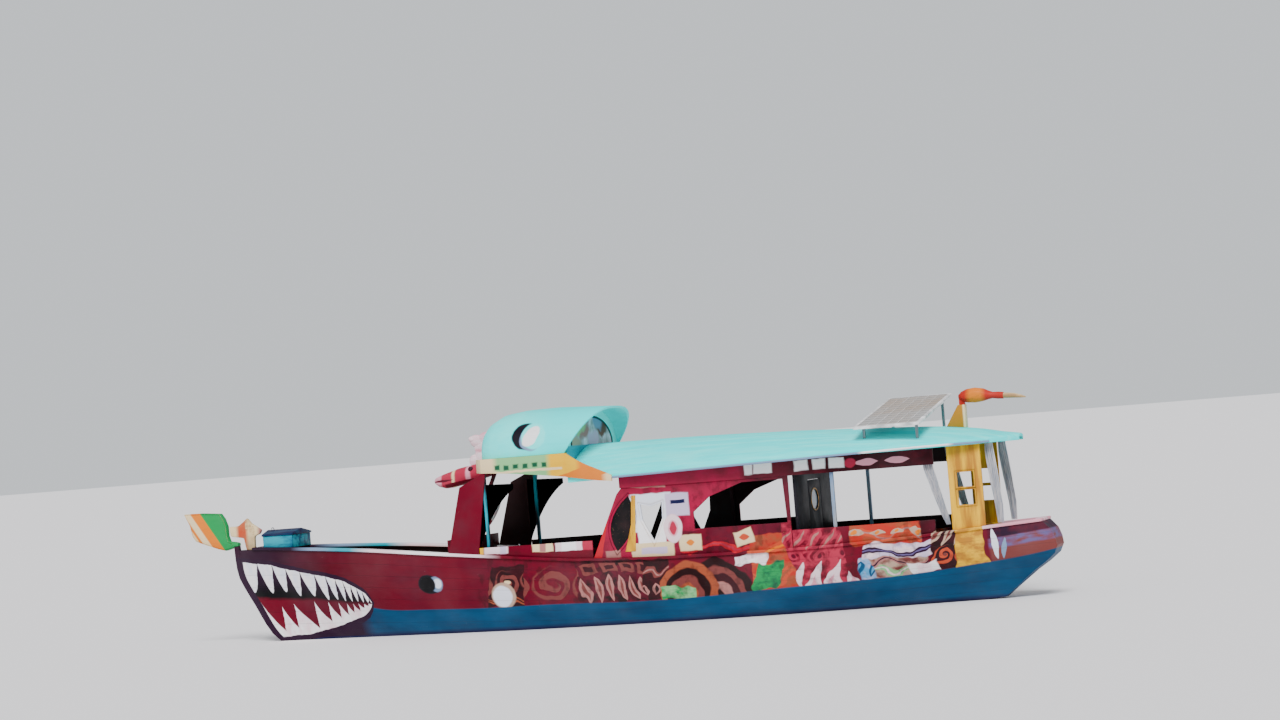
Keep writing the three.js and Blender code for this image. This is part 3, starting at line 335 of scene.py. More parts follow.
@dataclass(frozen=True)
class Paint:
    """Brushed paint on planed wood or sheet metal, mottled with a second colour along its grain."""

    name: str
    colour: Tint
    second: Tint
    rough: float = 0.42
    wear: float = 0.05
    under: Tint = Tint.OAK
    grain: Place = (0.35, 3.0, 3.0)

    def material(self) -> bpy.types.Material:
        """Build the node material."""
        g = Graph(self.name)
        ground = g.mix(g.slope(g.noise(3.1, 4, self.grain), 0.42, 0.62), self.colour, self.second)
        colour = weathered(g, ground, self.under, self.wear)
        rough = g.line(g.noise(6, 3), 0.22, self.rough - 0.1)
        return g.close(colour, rough, g.bump(g.noise(26, 5, self.grain), 0.0012))


@dataclass(frozen=True)
class Timber:
    """Oiled or stained wood in boards that run fore and aft, with dark seams between them."""

    name: str
    colour: Tint
    dark: Tint
    board: float = 0.12
    rough: float = 0.62

    def material(self) -> bpy.types.Material:
        """Build the node material."""
        g = Graph(self.name)
        rings = g.noise(7, 6, (0.22, 6.0, 6.0), 0.6)
        colour = g.mix(g.slope(rings, 0.3, 0.72), self.dark, self.colour)
        boards = g.over(g.y, self.board)
        seam = g.slope(g.size(g.minus(g.rest(boards), 0.5)), 0.47, 0.49)
        tone = g.add("ShaderNodeTexWhiteNoise", {"W": g.op("FLOOR", boards)}, noise_dimensions="1D").outputs[0]
        varied = g.mix(g.times(tone, 0.35), colour, self.dark)
        aged = weathered(g, g.mix(seam, varied, Tint.BLACK), Tint.GREY, 0.03)
        return g.close(aged, self.rough, g.bump(g.minus(g.times(rings, 0.3), seam), 0.003))


@dataclass(frozen=True)
class Metal:
    """Cast, rolled or painted metal with dull spots."""

    name: str
    colour: Tint
    dull: Tint
    rough: float = 0.4
    metal: float = 1.0

    def material(self) -> bpy.types.Material:
        """Build the node material."""
        g = Graph(self.name)
        spots = g.slope(g.noise(18, 5), 0.42, 0.66)
        colour = g.mix(g.times(spots, 0.7), self.colour, self.dull)
        return g.close(colour, g.line(spots, 0.25, self.rough), g.bump(g.noise(90, 3), 0.0006), self.metal, 0.5)


@dataclass(frozen=True)
class Smooth:
    """Moulded plastic or glass with a faint mottle."""

    name: str
    colour: Tint
    second: Tint
    rough: float = 0.3
    scale: float = 5.0

    def material(self) -> bpy.types.Material:
        """Build the node material."""
        g = Graph(self.name)
        colour = g.mix(g.slope(g.noise(self.scale, 4), 0.4, 0.75), self.colour, self.second)
        return g.close(colour, self.rough, g.bump(g.noise(40, 3), 0.0004), gloss=0.4)


class Form(Enum):
    """Shapes that are painted one by one."""

    DISC = "disc"
    RING = "ring"
    LENS = "lens"
    BLOCK = "block"


@dataclass(frozen=True)
class Motif:
    """One painted shape: middle, half sizes in metres, turn in degrees about the Y axis, and colour."""

    form: Form
    x: float
    z: float
    wide: float
    tall: float
    turn: float
    tint: Tint

    def mask(self, g: Graph, where: Socket) -> Socket:
        """Mask of the shape.

        Args:
            g: The material's graph.
            where: Coordinates with the side's height in Z.

        Returns:
            1 inside the shape and 0 outside.
        """
        feeds = {"Vector": where, "Location": (self.x, 0, self.z), "Scale": (self.wide, 1, self.tall),
                 "Rotation": (0, math.radians(self.turn), 0)}
        u, _, v = g.split(g.add("ShaderNodeMapping", feeds, vector_type="TEXTURE").outputs[0])
        if self.form is Form.BLOCK:
            away = g.most(g.size(u), g.size(v))
        elif self.form is Form.LENS:
            away = g.plus(g.times(u, u), g.size(v))
        else:
            away = g.radius(u, v)
        limit = 1.0
        if self.form is Form.RING:
            away, limit = g.size(g.minus(away, 0.78)), 0.22
        return g.above(limit, away, 0.012 / max(self.wide, self.tall))


def shapes(form: Form, *rows: tuple) -> tuple[Motif, ...]:
    """Motifs of one form from rows of middle, half sizes, turn and colour."""
    return tuple(Motif(form, *row) for row in rows)


def hand_drawn(g: Graph, scale: float = 5.0, reach: float = 0.045) -> Socket:
    """Object coordinates with the waver of a brush line.

    Args:
        g: The material's graph.
        scale: Waves a metre.
        reach: Size of the waver in metres.

    Returns:
        The wavering coordinates.
    """
    kind = "ShaderNodeVectorMath"
    waver = g.add("ShaderNodeTexNoise", {"Vector": g.place, "Scale": scale, "Detail": 2.0}).outputs[1]
    centred = g.add(kind, {0: waver, 1: (0.5, 0.5, 0.5)}, operation="SUBTRACT").outputs[0]
    small = g.add(kind, {0: centred, "Scale": reach}, operation="SCALE").outputs[0]
    return g.add(kind, {0: g.place, 1: small}, operation="ADD").outputs[0]


def painted(g: Graph, ground: object, motifs: Iterable[Motif]) -> Socket:
    """Lay motifs over a ground colour.

    Args:
        g: The material's graph.
        ground: What lies below.
        motifs: The shapes, in the order in which they are laid.

    Returns:
        The colour with the motifs on it.
    """
    where = hand_drawn(g)
    for motif in motifs:
        ground = g.mix(motif.mask(g, where), ground, motif.tint)
    return ground


class Fill(Enum):
    """Brush patterns that fill the painted fields of the side."""

    CURLS = "curls"
    LEAVES = "leaves"
    SPIKES = "spikes"
    WAVES = "waves"
    BLOCKS = "blocks"


@dataclass(frozen=True)
class Run:
    """Row of like shapes: spacing, height and level in metres, their colour, the colour inside, lean and shift."""

    fill: Fill
    pitch: float
    tall: float
    low: float
    tint: Tint
    inside: Tint
    lean: float = 0.0
    shift: float = 0.0

    def lay(self, g: Graph, x: Socket, z: Socket, colour: object) -> Socket:
        """Lay the row over a colour.

        Args:
            g: The material's graph.
            x: Wavering distance forward.
            z: Wavering height.
            colour: What lies below.

        Returns:
            The colour with the row on it.
        """
        run = g.plus(g.over(g.line(z, self.lean, x), self.pitch), self.shift)
        u = g.line(g.rest(run), 2.0, -1.0)
        v = g.over(g.minus(z, self.low), self.tall)
        w = g.line(v, 2.0, -1.0)
        side, level = g.size(u), g.size(w)
        if self.fill is Fill.CURLS:
            radius = g.radius(u, w)
            coil = g.rest(g.minus(g.times(radius, 1.7), g.turn_of(u, w)))
            outer = g.times(self.mask(g, 0.98, radius), self.mask(g, coil, 0.42))
            inner = self.mask(g, 0.2, radius)
        elif self.fill is Fill.LEAVES:
            bulge = g.minus(1.0, g.times(w, w))
            outer = self.mask(g, g.times(bulge, 0.72), side)
            inner = self.mask(g, g.line(bulge, 0.45, -0.2), side)
        elif self.fill is Fill.SPIKES:
            row = self.mask(g, 1.0, level)
            outer = g.times(row, self.mask(g, g.line(v, -0.85, 0.9), side))
            inner = g.times(row, self.mask(g, g.line(v, -0.8, 0.3), side))
        elif self.fill is Fill.WAVES:
            crest = g.size(g.line(g.op("SINE", g.times(u, math.pi)), 0.55, w))
            outer, inner = self.mask(g, 0.42, crest), self.mask(g, 0.12, crest)
        else:
            outer = g.times(self.mask(g, 1.0, level), self.mask(g, 0.8, side))
            inner = self.mask(g, 0.45, g.most(side, level))
        return g.mix(inner, g.mix(outer, colour, self.tint), self.inside)

    def mask(self, g: Graph, value: object, limit: object) -> Socket:
        """Mask of where a value is above a limit, with a brush's soft edge."""
        return g.above(value, limit, 0.05)


@dataclass(frozen=True)
class Area:
    """Painted area of the side: its ends, its lower and upper edge, two ground colours, its rows and its lean."""

    fore: float
    aft: float
    low: float
    high: float
    ground: Tint
    second: Tint
    runs: tuple[Run, ...] = ()
    lean: float = 0.0

    def lay(self, g: Graph, x: Socket, z: Socket, blotch: Socket, colour: object) -> Socket:
        """Lay the area over a colour.

        Args:
            g: The material's graph.
            x: Wavering distance forward.
            z: Wavering height.
            blotch: Mottle between the two ground colours.
            colour: What lies below.

        Returns:
            The colour with the area on it.
        """
        long = g.within(g.line(z, self.lean, x), self.aft, self.fore, 0.008)
        inside: object = g.mix(blotch, self.ground, self.second)
        for run in self.runs:
            inside = run.lay(g, x, z, inside)
        return g.mix(g.times(long, g.within(z, self.low, self.high, 0.008)), colour, inside)


@dataclass(frozen=True)
class Rings:
    """Nested arches about a foot on the side: its place, outer radius, ring width and colours from outside in."""

    x: float
    z: float
    radius: float
    width: float
    tints: tuple[Tint, ...]

    def lay(self, g: Graph, x: Socket, z: Socket, colour: object) -> Socket:
        """Lay the arches over a colour.

        Args:
            g: The material's graph.
            x: Wavering distance forward.
            z: Wavering height.
            colour: What lies below.

        Returns:
            The colour with the arches on it.
        """
        radius = g.radius(g.minus(x, self.x), g.minus(z, self.z))
        for i, tint in enumerate(self.tints):
            colour = g.mix(g.above(self.radius - i * self.width, radius, 0.01), colour, tint)
        return colour


# Areas from bow to stern, in metres forward and up.
SIDE_AREAS = (
    Area(2.0, 1.27, 0.36, 0.98, Tint.MAROON, Tint.DARK_BROWN,
         (Run(Fill.CURLS, 0.42, 0.36, 0.56, Tint.ROSEWOOD, Tint.CREAM),
          Run(Fill.WAVES, 0.5, 0.14, 0.38, Tint.RUST, Tint.DARK_BROWN, 0.4)), 0.3),
    Area(1.27, 0.3, 0.36, 1.0, Tint.CRIMSON, Tint.WINE,
         (Run(Fill.CURLS, 0.66, 0.5, 0.42, Tint.ROSEWOOD, Tint.CRIMSON, 0.1, 0.3),), 0.1),
    Area(0.3, -0.8, 0.35, 0.99, Tint.WINE, Tint.DARK_BROWN,
         (Run(Fill.BLOCKS, 0.3, 0.13, 0.8, Tint.ROSEWOOD, Tint.MAROON, -0.3),
          Run(Fill.LEAVES, 0.2, 0.4, 0.36, Tint.DUSTY, Tint.ROSEWOOD, -0.25, 0.2))),
    Area(-0.78, -1.14, 0.36, 0.99, Tint.DARK_BROWN, Tint.MAROON,
         (Run(Fill.LEAVES, 0.15, 0.22, 0.42, Tint.DUSTY, Tint.DARK_BROWN, 0.2),
          Run(Fill.WAVES, 0.3, 0.2, 0.72, Tint.ROSEWOOD, Tint.DUSTY, 0.4))),
    Area(-1.3, -2.5, 0.92, 1.4, Tint.CRIMSON, Tint.WINE,
         (Run(Fill.WAVES, 0.9, 0.16, 1.0, Tint.RED, Tint.ROSE, 0.3),)),
    Area(-2.42, -3.28, 0.36, 1.22, Tint.SCARLET, Tint.RUST,
         (Run(Fill.WAVES, 1.3, 0.46, 0.76, Tint.SALMON, Tint.ORANGE, 0.6, 0.25),
          Run(Fill.WAVES, 0.9, 0.3, 0.44, Tint.SALMON, Tint.RUST, -0.5))),
    Area(-2.2, -2.56, 0.4, 0.8, Tint.GREEN, Tint.DARK_GREEN, (), 0.45),
    Area(-1.96, -2.44, 0.8, 0.93, Tint.WHITE, Tint.PINK_WHITE, (), 0.3),
    Area(-3.2, -4.02, 0.38, 1.36, Tint.CRIMSON, Tint.ROSE,
         (Run(Fill.LEAVES, 0.21, 0.34, 0.92, Tint.ROSE, Tint.DUSTY, 0.7),
          Run(Fill.CURLS, 0.34, 0.28, 0.72, Tint.ROSE, Tint.WINE, 0.2, 0.2),
          Run(Fill.SPIKES, 0.27, 0.36, 0.42, Tint.PINK_WHITE, Tint.PINK, 0.5)), -0.2),
    Area(-3.8, -4.26, 0.46, 0.78, Tint.SKY, Tint.LILAC_WHITE,
         (Run(Fill.LEAVES, 0.19, 0.24, 0.5, Tint.TEAL, Tint.SKY, 0.8),), 0.35),
    Area(-4.2, -5.0, 0.46, 0.76, Tint.BEIGE, Tint.ROSEWOOD,
         (Run(Fill.WAVES, 0.6, 0.14, 0.5, Tint.LEAF, Tint.PINK_WHITE, 0.3),
          Run(Fill.WAVES, 0.7, 0.16, 0.6, Tint.DUSTY, Tint.PURPLE, -0.4))),
    Area(-3.98, -4.95, 0.76, 0.98, Tint.LILAC_WHITE, Tint.PINK_WHITE,
         (Run(Fill.WAVES, 0.8, 0.16, 0.76, Tint.PURPLE, Tint.LILAC, -0.4),), 0.2),
    Area(-3.95, -4.95, 0.97, 1.34, Tint.SCARLET, Tint.RUST,
         (Run(Fill.WAVES, 0.62, 0.22, 0.98, Tint.SALMON, Tint.DUSTY, 0.5),
          Run(Fill.LEAVES, 0.3, 0.1, 1.08, Tint.BEIGE, Tint.ORANGE, 0.5))),
    Area(-4.88, -5.46, 0.46, 1.36, Tint.MAROON, Tint.DARK_BROWN,
         (Run(Fill.LEAVES, 0.2, 0.42, 0.86, Tint.BEIGE, Tint.ROSEWOOD, 0.8),
          Run(Fill.CURLS, 0.34, 0.3, 0.56, Tint.SALMON, Tint.ROSEWOOD, 0.2, 0.4)), 0.2),
    Area(-5.02, -5.42, 0.46, 0.66, Tint.WHITE, Tint.PINK_WHITE, (), -0.5),
    Area(-5.41, -5.84, 0.46, 1.24, Tint.OCHRE, Tint.YELLOW),
)
GREEN_PATCH = Area(-0.98, -1.54, 0.34, 0.55, Tint.GREEN, Tint.LEAF)
ARCHES = (
    Rings(-1.86, 0.34, 0.56, 0.11, (Tint.DARK_BROWN, Tint.ROSEWOOD, Tint.MAROON, Tint.DUSTY, Tint.DARK_BROWN)),
    Rings(-1.42, 0.44, 0.46, 0.1, (Tint.RUST, Tint.DARK_BROWN, Tint.ROSEWOOD, Tint.RUST, Tint.DARK_BROWN)),
)
SIDE_MOTIFS = (
    *shapes(Form.DISC, (1.56, 0.55, 0.2, 0.2, 0, Tint.BEIGE), (1.58, 0.54, 0.16, 0.16, 0, Tint.COOL_WHITE)),
    *shapes(Form.BLOCK, (-1.52, 1.17, 0.17, 0.12, 0, Tint.CREAM), (-2.35, 1.2, 0.14, 0.11, 14, Tint.CREAM)),
    *shapes(Form.LENS, (-1.52, 1.17, 0.07, 0.05, 0, Tint.ORANGE), (-2.35, 1.2, 0.08, 0.05, 0, Tint.SALMON)),
)


def side_painting(g: Graph, colour: object, low: float, high: float) -> Socket:
    """Lay the painted areas of the side that reach into a range of heights over a colour.

    Args:
        g: The material's graph.
        colour: What lies below.
        low: Lowest height in metres.
        high: Highest height in metres.

    Returns:
        The colour with the areas on it.
    """
    x, _, z = g.split(hand_drawn(g, 2.6, 0.26))
    blotch = g.slope(g.noise(4.5, 4, (1, 1, 1.6)), 0.42, 0.6)
    for area in SIDE_AREAS:
        if area.low < high and area.high > low:
            colour = area.lay(g, x, z, blotch, colour)
    if low < GREEN_PATCH.high:
        for arches in ARCHES:
            colour = arches.lay(g, x, z, colour)
        colour = GREEN_PATCH.lay(g, x, z, blotch, colour)
    strokes = g.times(g.slope(g.noise(7.5, 3, (1, 1, 0.7)), 0.52, 0.64), 0.5)
    here = g.times(strokes, g.within(g.x, -5.4, 2.0, 0.02, 0.05))
    colour = g.mix(here, colour, g.mix(0.8, colour, Tint.DARK_BROWN))
    return painted(g, colour, [m for m in SIDE_MOTIFS if m.z - m.tall < high and m.z + m.tall > low])


# Lines of the hull: distance forward and height, or for the stem height and distance forward.
HULL_SHEER = ((-6.9, 1.11), (-5.7, 1.05), (-4.5, 0.985), (-3.0, 0.95), (-1.5, 0.95), (0.0, 0.99), (1.55, 1.125),
              (2.6, 1.225), (4.2, 1.375), (6.0, 1.475), (6.9, 1.5))
BAND_TOP = ((-6.9, 0.72), (-6.3, 0.62), (-5.6, 0.55), (-4.7, 0.475), (-3.4, 0.43), (-2.5, 0.4), (-1.6, 0.36),
            (-0.6, 0.35), (0.7, 0.38), (2.0, 0.38), (2.9, 0.4), (3.6, 0.42), (4.0, 0.48))
STEM_LINE = ((-0.33, 4.9), (-0.12, 5.59), (0.0, 5.79), (0.17, 5.955), (0.36, 6.07), (0.58, 6.185), (0.85, 6.34),
             (1.09, 6.45), (1.29, 6.48), (1.5, 6.49))
KEEL_FOOT = -0.33
LENGTH_SPAN = (-7.0, 7.0)
HEIGHT_REACH = (-0.6, 2.0)


@dataclass(frozen=True)
class Jaw:
    """Painted mouth on the bow.

    Its lips, the tips of its teeth and the notches between the lower ones are pairs of distance forward and height.
    `upper` and `lower` hold where each row's teeth meet, and `fore` and `aft` are the mouth's ends.
    """

    top: tuple[Point, ...] = ((6.6, 1.31), (6.5, 1.3), (6.2, 1.268), (5.83, 1.226), (5.53, 1.153), (5.23, 1.095),
                              (4.92, 1.03), (4.67, 0.984), (4.45, 0.92), (4.2, 0.8), (4.035, 0.675), (3.96, 0.56))
    bottom: tuple[Point, ...] = ((6.6, 0.02), (5.96, 0.05), (5.83, 0.06), (5.6, 0.08), (5.32, 0.09), (4.96, 0.149),
                                 (4.66, 0.211), (4.34, 0.3), (4.126, 0.37), (4.0, 0.47), (3.96, 0.54))
    upper_tips: tuple[Point, ...] = ((6.6, 0.8), (6.25, 0.79), (5.95, 0.78), (5.64, 0.79), (5.31, 0.71), (5.06, 0.7),
                                     (4.8, 0.635), (4.6, 0.63), (4.48, 0.6), (4.2, 0.575), (3.96, 0.55))
    lower_tips: tuple[Point, ...] = ((6.6, 0.64), (6.1, 0.626), (5.74, 0.56), (5.48, 0.585), (5.07, 0.62),
                                     (4.79, 0.605), (4.58, 0.575), (4.44, 0.56), (4.2, 0.55), (3.96, 0.54))
    notches: tuple[Point, ...] = ((6.6, 0.13), (5.75, 0.16), (5.5, 0.2), (5.1, 0.17), (4.84, 0.27), (4.62, 0.32),
                                  (4.45, 0.37), (4.2, 0.44), (3.96, 0.53))
    upper: tuple[float, ...] = (6.54, 6.13, 5.81, 5.53, 5.25, 4.96, 4.75, 4.58, 4.435, 4.31, 4.2, 4.1, 4.01, 3.93)
    lower: tuple[float, ...] = (6.16, 5.75, 5.49, 5.08, 4.81, 4.6, 4.45, 4.33, 4.22, 4.12, 4.03, 3.94)
    slant: float = 0.16
    outline: float = 0.07
    fore: float = 6.6
    aft: float = 3.96

    def count_off(self, g: Graph, run: Socket, marks: Sequence[float]) -> Socket:
        """Share of the way between two marks.

        Args:
            g: The material's graph.
            run: Distance forward.
            marks: Distances forward of the marks, from fore to aft.

        Returns:
            0 at the fore mark of each pair, rising to 1 at the aft one.
        """
        rows = [(mark, i) for i, mark in enumerate(marks)]
        return g.rest(g.profile(run, rows, (marks[-1], marks[0]), (0, len(marks) - 1)))

    def lay(self, g: Graph, colour: Socket) -> Socket:
        """Lay the mouth over a colour.

        Args:
            g: The material's graph.
            colour: What lies below.

        Returns:
            The colour with the mouth on it.
        """
        waver = g.line(g.noise(7, 2), 0.05, -0.025)
        x, z = g.plus(g.x, waver), g.plus(g.z, g.times(waver, 0.8))
        lines = (self.top, self.bottom, self.upper_tips, self.lower_tips, self.notches)
        top, bottom, upper_tips, lower_tips, notches = (
            g.profile(g.x, line, (self.aft, self.fore), HEIGHT_REACH) for line in lines)
        stem = g.profile(g.z, STEM_LINE, (KEEL_FOOT, 1.5), (4.5, 7.0))
        ahead = g.times(g.above(g.x, self.aft), g.above(g.minus(stem, 0.05), g.x))
        mouth = g.times(g.within(z, bottom, top), ahead)
        lined = g.within(z, g.minus(bottom, self.outline * 1.3), g.plus(top, self.outline))
        edge = g.times(lined, g.above(g.x, self.aft - self.outline))
        high = g.over(g.minus(z, upper_tips), g.minus(top, upper_tips))
        lean = g.line(g.minus(top, z), self.slant, x)
        side = g.size(g.line(self.count_off(g, lean, self.upper), 2.0, -1.0))
        width = g.times(g.op("POWER", g.most(high, 0.0), 0.62), 0.98)
        upper = g.times(g.above(width, side, 0.035), g.above(high, 0.0, 0.02))
        fall = g.op("POWER", self.count_off(g, x, self.lower), 0.8)
        fang = g.minus(lower_tips, g.times(fall, g.minus(lower_tips, notches)))
        lower = g.above(fang, z, 0.008)
        middle = g.times(g.plus(upper_tips, lower_tips), 0.5)
        red = g.mix(g.above(g.x, 5.4, 0.3), Tint.WINE, Tint.CRIMSON)
        gum = g.mix(g.above(middle, z, 0.03), Tint.BLACK, red)
        back = g.mix(g.above(high, 0.3, 0.3), gum, Tint.PURPLE)
        shaded = g.mix(lower, Tint.COOL_WHITE, Tint.PINK_WHITE)
        white = g.mix(g.slope(g.noise(7, 3, (1, 1, 0.5)), 0.4, 0.66), Tint.WHITE, shaded)
        bitten = g.mix(g.most(upper, lower), back, white)
        return g.mix(mouth, g.mix(edge, colour, Tint.PURPLE), bitten)


@dataclass(frozen=True)
class HullPaint:
    """Crimson topsides, blue boot-top, mouth and eye at the bow, and the painting along the side."""

    name: str = "hull_paint"
    strakes: int = 9
    boot_end: float = 4.3
    antifouling: float = 0.03
    stern_line: float = -5.87
    eye: tuple[Motif, ...] = shapes(
        Form.DISC, (2.83, 0.79, 0.2, 0.15, -8, Tint.SHADOW), (2.72, 0.79, 0.13, 0.12, 0, Tint.SLATE_BLUE),
        (2.68, 0.8, 0.07, 0.08, 0, Tint.COOL_WHITE), (2.86, 0.79, 0.14, 0.13, 0, Tint.BLACK))
    splashes: tuple[Motif, ...] = shapes(
        Form.LENS, (-5.95, 0.83, 0.05, 0.22, 6, Tint.COOL_WHITE), (-6.07, 0.76, 0.035, 0.15, -10, Tint.SLATE_BLUE))

    def material(self) -> bpy.types.Material:
        """Build the node material."""
        g = Graph(self.name)
        body = g.mix(g.slope(g.x, 3.2, 6.0), Tint.CRIMSON, Tint.MAROON)
        body = g.mix(g.slope(g.noise(2.2, 4, (0.5, 1, 1.6)), 0.45, 0.7), body, Tint.WINE)
        body = side_painting(g, painted(g, body, self.eye), 0.3, 1.2)
        body = self.boot(g, self.stern(g, body))
        chin = g.times(g.above(g.x, 4.15, 0.12), g.above(0.55, g.z, 0.08))
        brow = g.times(g.slope(g.x, 4.6, 5.9), 0.8)
        body = g.mix(g.most(chin, brow), body, Tint.PURPLE)
        bottom = g.mix(g.above(self.antifouling, g.z, 0.01), body, Tint.NAVY)
        # Faces that look inboard are dark brown: painted shade for the inside of the hull.
        colour = g.mix(g.inboard(), Jaw().lay(g, bottom), Tint.DARK_BROWN)
        seam = self.seams(g)
        aged = weathered(g, g.mix(g.times(seam, 0.3), colour, Tint.SHADOW), Tint.GREY, 0.01)
        relief = g.minus(g.times(g.noise(20, 5, (0.3, 1, 3.0)), 0.35), seam)
        return g.close(aged, g.line(g.noise(5, 3), 0.2, 0.38), g.bump(relief, 0.0025))

    def boot(self, g: Graph, body: Socket) -> Socket:
        """Lay the blue band over a colour, from below up to its own line.

        Args:
            g: The material's graph.
            body: What lies below.

        Returns:
            The colour with the band on it.
        """
        top = g.profile(g.x, BAND_TOP, LENGTH_SPAN, HEIGHT_REACH)
        blue = g.mix(g.slope(g.noise(1.7, 4, (0.5, 1, 2.0)), 0.35, 0.7), Tint.TEAL, Tint.DEEP_TEAL)
        blue = g.mix(g.above(0.05, g.z, 0.03), blue, Tint.NAVY)
        return g.mix(g.times(g.above(top, g.z, 0.008), g.above(self.boot_end, g.x, 0.05)), body, blue)

    def seams(self, g: Graph) -> Socket:
        """Mask of the seams between the strakes.

        Args:
            g: The material's graph.

        Returns:
            1 on the seams, which run with the sheer.
        """
        sheer = g.profile(g.x, HULL_SHEER, LENGTH_SPAN, HEIGHT_REACH)
        height = g.over(g.minus(g.z, KEEL_FOOT), g.minus(sheer, KEEL_FOOT))
        share = g.rest(g.times(height, float(self.strakes)))
        return g.slope(g.size(g.minus(share, 0.5)), 0.475, 0.495)

    def stern(self, g: Graph, body: Socket) -> Socket:
        """Lay lilac under purple on the stern quarters, with a rosewood foot and two pale splashes.

        Args:
            g: The material's graph.
            body: What lies below.

        Returns:
            The colour with the quarters on it.
        """
        line = g.line(g.plus(g.x, 6.1), -0.1, 0.93)
        lilac = g.mix(g.slope(g.noise(5, 3, (1, 1, 3)), 0.4, 0.7), Tint.LILAC, Tint.ROSEWOOD)
        purple = g.mix(g.slope(g.noise(4, 2), 0.4, 0.7), Tint.PURPLE, Tint.WINE)
        bands = g.mix(g.above(g.z, line, 0.01), lilac, purple)
        bands = g.mix(g.above(g.minus(line, 0.15), g.z, 0.015), bands, Tint.ROSEWOOD)
        return g.mix(g.above(self.stern_line, g.x, 0.02), body, painted(g, bands, self.splashes))


@dataclass(frozen=True)
class Ornament:
    """Painted wood: ground colours that change along the boat, the side's painting, and motifs of its own.

    The colour in `second` mottles the ground, and the one in `inner` is on the faces that look inboard, as painted
    shade for the shaded inside. Between the ends in `span` the side's painting lies on the ground, as far as it reaches
    into `heights`.
    """

    name: str
    stops: Stops
    motifs: tuple[Motif, ...] = ()
    second: Tint | None = None
    lean: float = 0.0
    soft: float = 0.01
    heights: Point | None = None
    inner: Tint | None = None
    span: Point = (1.9, -5.85)
    rough: float = 0.42
    wear: float = 0.02

    def material(self) -> bpy.types.Material:
        """Build the node material."""
        g = Graph(self.name)
        run = g.line(g.z, self.lean, g.x)
        colour: object = self.stops[0][1]
        for place, tint in self.stops[1:]:
            colour = g.mix(g.above(run, place, self.soft), colour, tint)
        if self.second is not None:
            colour = g.mix(g.times(g.slope(g.noise(2.6, 4), 0.45, 0.7), 0.75), colour, self.second)
        if self.heights is not None:
            here = g.within(g.x, self.span[1], self.span[0], 0.02, 0.05)
            colour = g.mix(here, colour, side_painting(g, colour, *self.heights))
        colour = painted(g, colour, self.motifs)
        # Faces that look inboard take the `inner` colour: painted shade for the shaded inside.
        if self.inner is not None:
            colour = g.mix(g.inboard(), colour, self.inner)
        aged = weathered(g, colour, Tint.OAK, self.wear)
        rough = g.line(g.noise(6, 3), 0.2, self.rough - 0.08)
        return g.close(aged, rough, g.bump(g.noise(24, 5, (0.4, 2, 2)), 0.0012))


@dataclass(frozen=True)
class Net:
    """White twine netting, finely meshed, with grey streaks in it as painted shade of its folds."""

    name: str
    lay: float = 52.0

    def material(self) -> bpy.types.Material:
        """Build the node material."""
        g = Graph(self.name)
        twine = {"Scale": 38.0, "Distortion": 1.2, "Detail": 1.0}
        threads = [g.add("ShaderNodeTexWave", {"Vector": g.mapped(turn=(0, math.radians(turn), 0)), **twine}).outputs[1]
                   for turn in (self.lay, -self.lay)]
        mesh = g.most(*threads)
        # Grey streaks stretched up and down are painted shade where the netting folds.
        folds = g.times(g.slope(g.noise(30, 3, (1, 1, 0.12)), 0.46, 0.6), 0.55)
        tone = g.mix(folds, Tint.WHITE, Tint.SLATE_BLUE)
        colour = g.mix(g.slope(mesh, 0.2, 0.7), g.mix(0.12, tone, Tint.SLATE_BLUE), tone)
        g.shader.inputs["Sheen Weight"].default_value = 0.25
        return g.close(colour, 0.85, g.bump(mesh, 0.004))


@dataclass(frozen=True)
class BackPanel:
    """Painted panel that faces aft: muted blotches under a dark arch of painted shade, over a darker turquoise foot
    that is painted shade on the roof inside the cowl.
    """

    name: str
    blots: tuple[tuple[float, float, Tint], ...]
    foot: float = 2.74
    wide: float = 0.95
    head: float = 3.18
    blot: Point = (0.26, 0.13)

    def material(self) -> bpy.types.Material:
        """Build the node material."""
        g = Graph(self.name)
        _, y, z = g.split(hand_drawn(g, 4.0, 0.25))
        colour = g.mix(g.slope(g.noise(5, 4), 0.4, 0.65), Tint.GREY, Tint.COOL_WHITE)
        for across, height, tint in self.blots:
            away = g.squares(g.over(g.minus(y, across), self.blot[0]), g.over(g.minus(z, height), self.blot[1]))
            colour = g.mix(g.slope(away, 1.3, 0.5), colour, tint)
        rise = g.over(g.minus(g.z, self.foot), self.head - self.foot)
        away = g.squares(g.over(g.y, self.wide), rise)
        # The dark band along the arch is painted shade under the cowl's rim.
        colour = g.mix(g.above(away, 0.86, 0.02), colour, Tint.SHADOW)
        colour = g.mix(g.above(away, 1.0, 0.02), colour, Tint.PALE_TURQUOISE)
        # The teal below the foot is the roof inside the cowl, darker as painted shade.
        colour = g.mix(g.above(self.foot, g.z, 0.01), colour, Tint.SEA)
        return g.close(weathered(g, colour, Tint.OAK, 0.02), 0.45, g.bump(g.noise(24, 4), 0.001))


@lru_cache(maxsize=None)
def made(finish: object) -> bpy.types.Material:
    """Material of a finish, built once."""
    return finish.material()


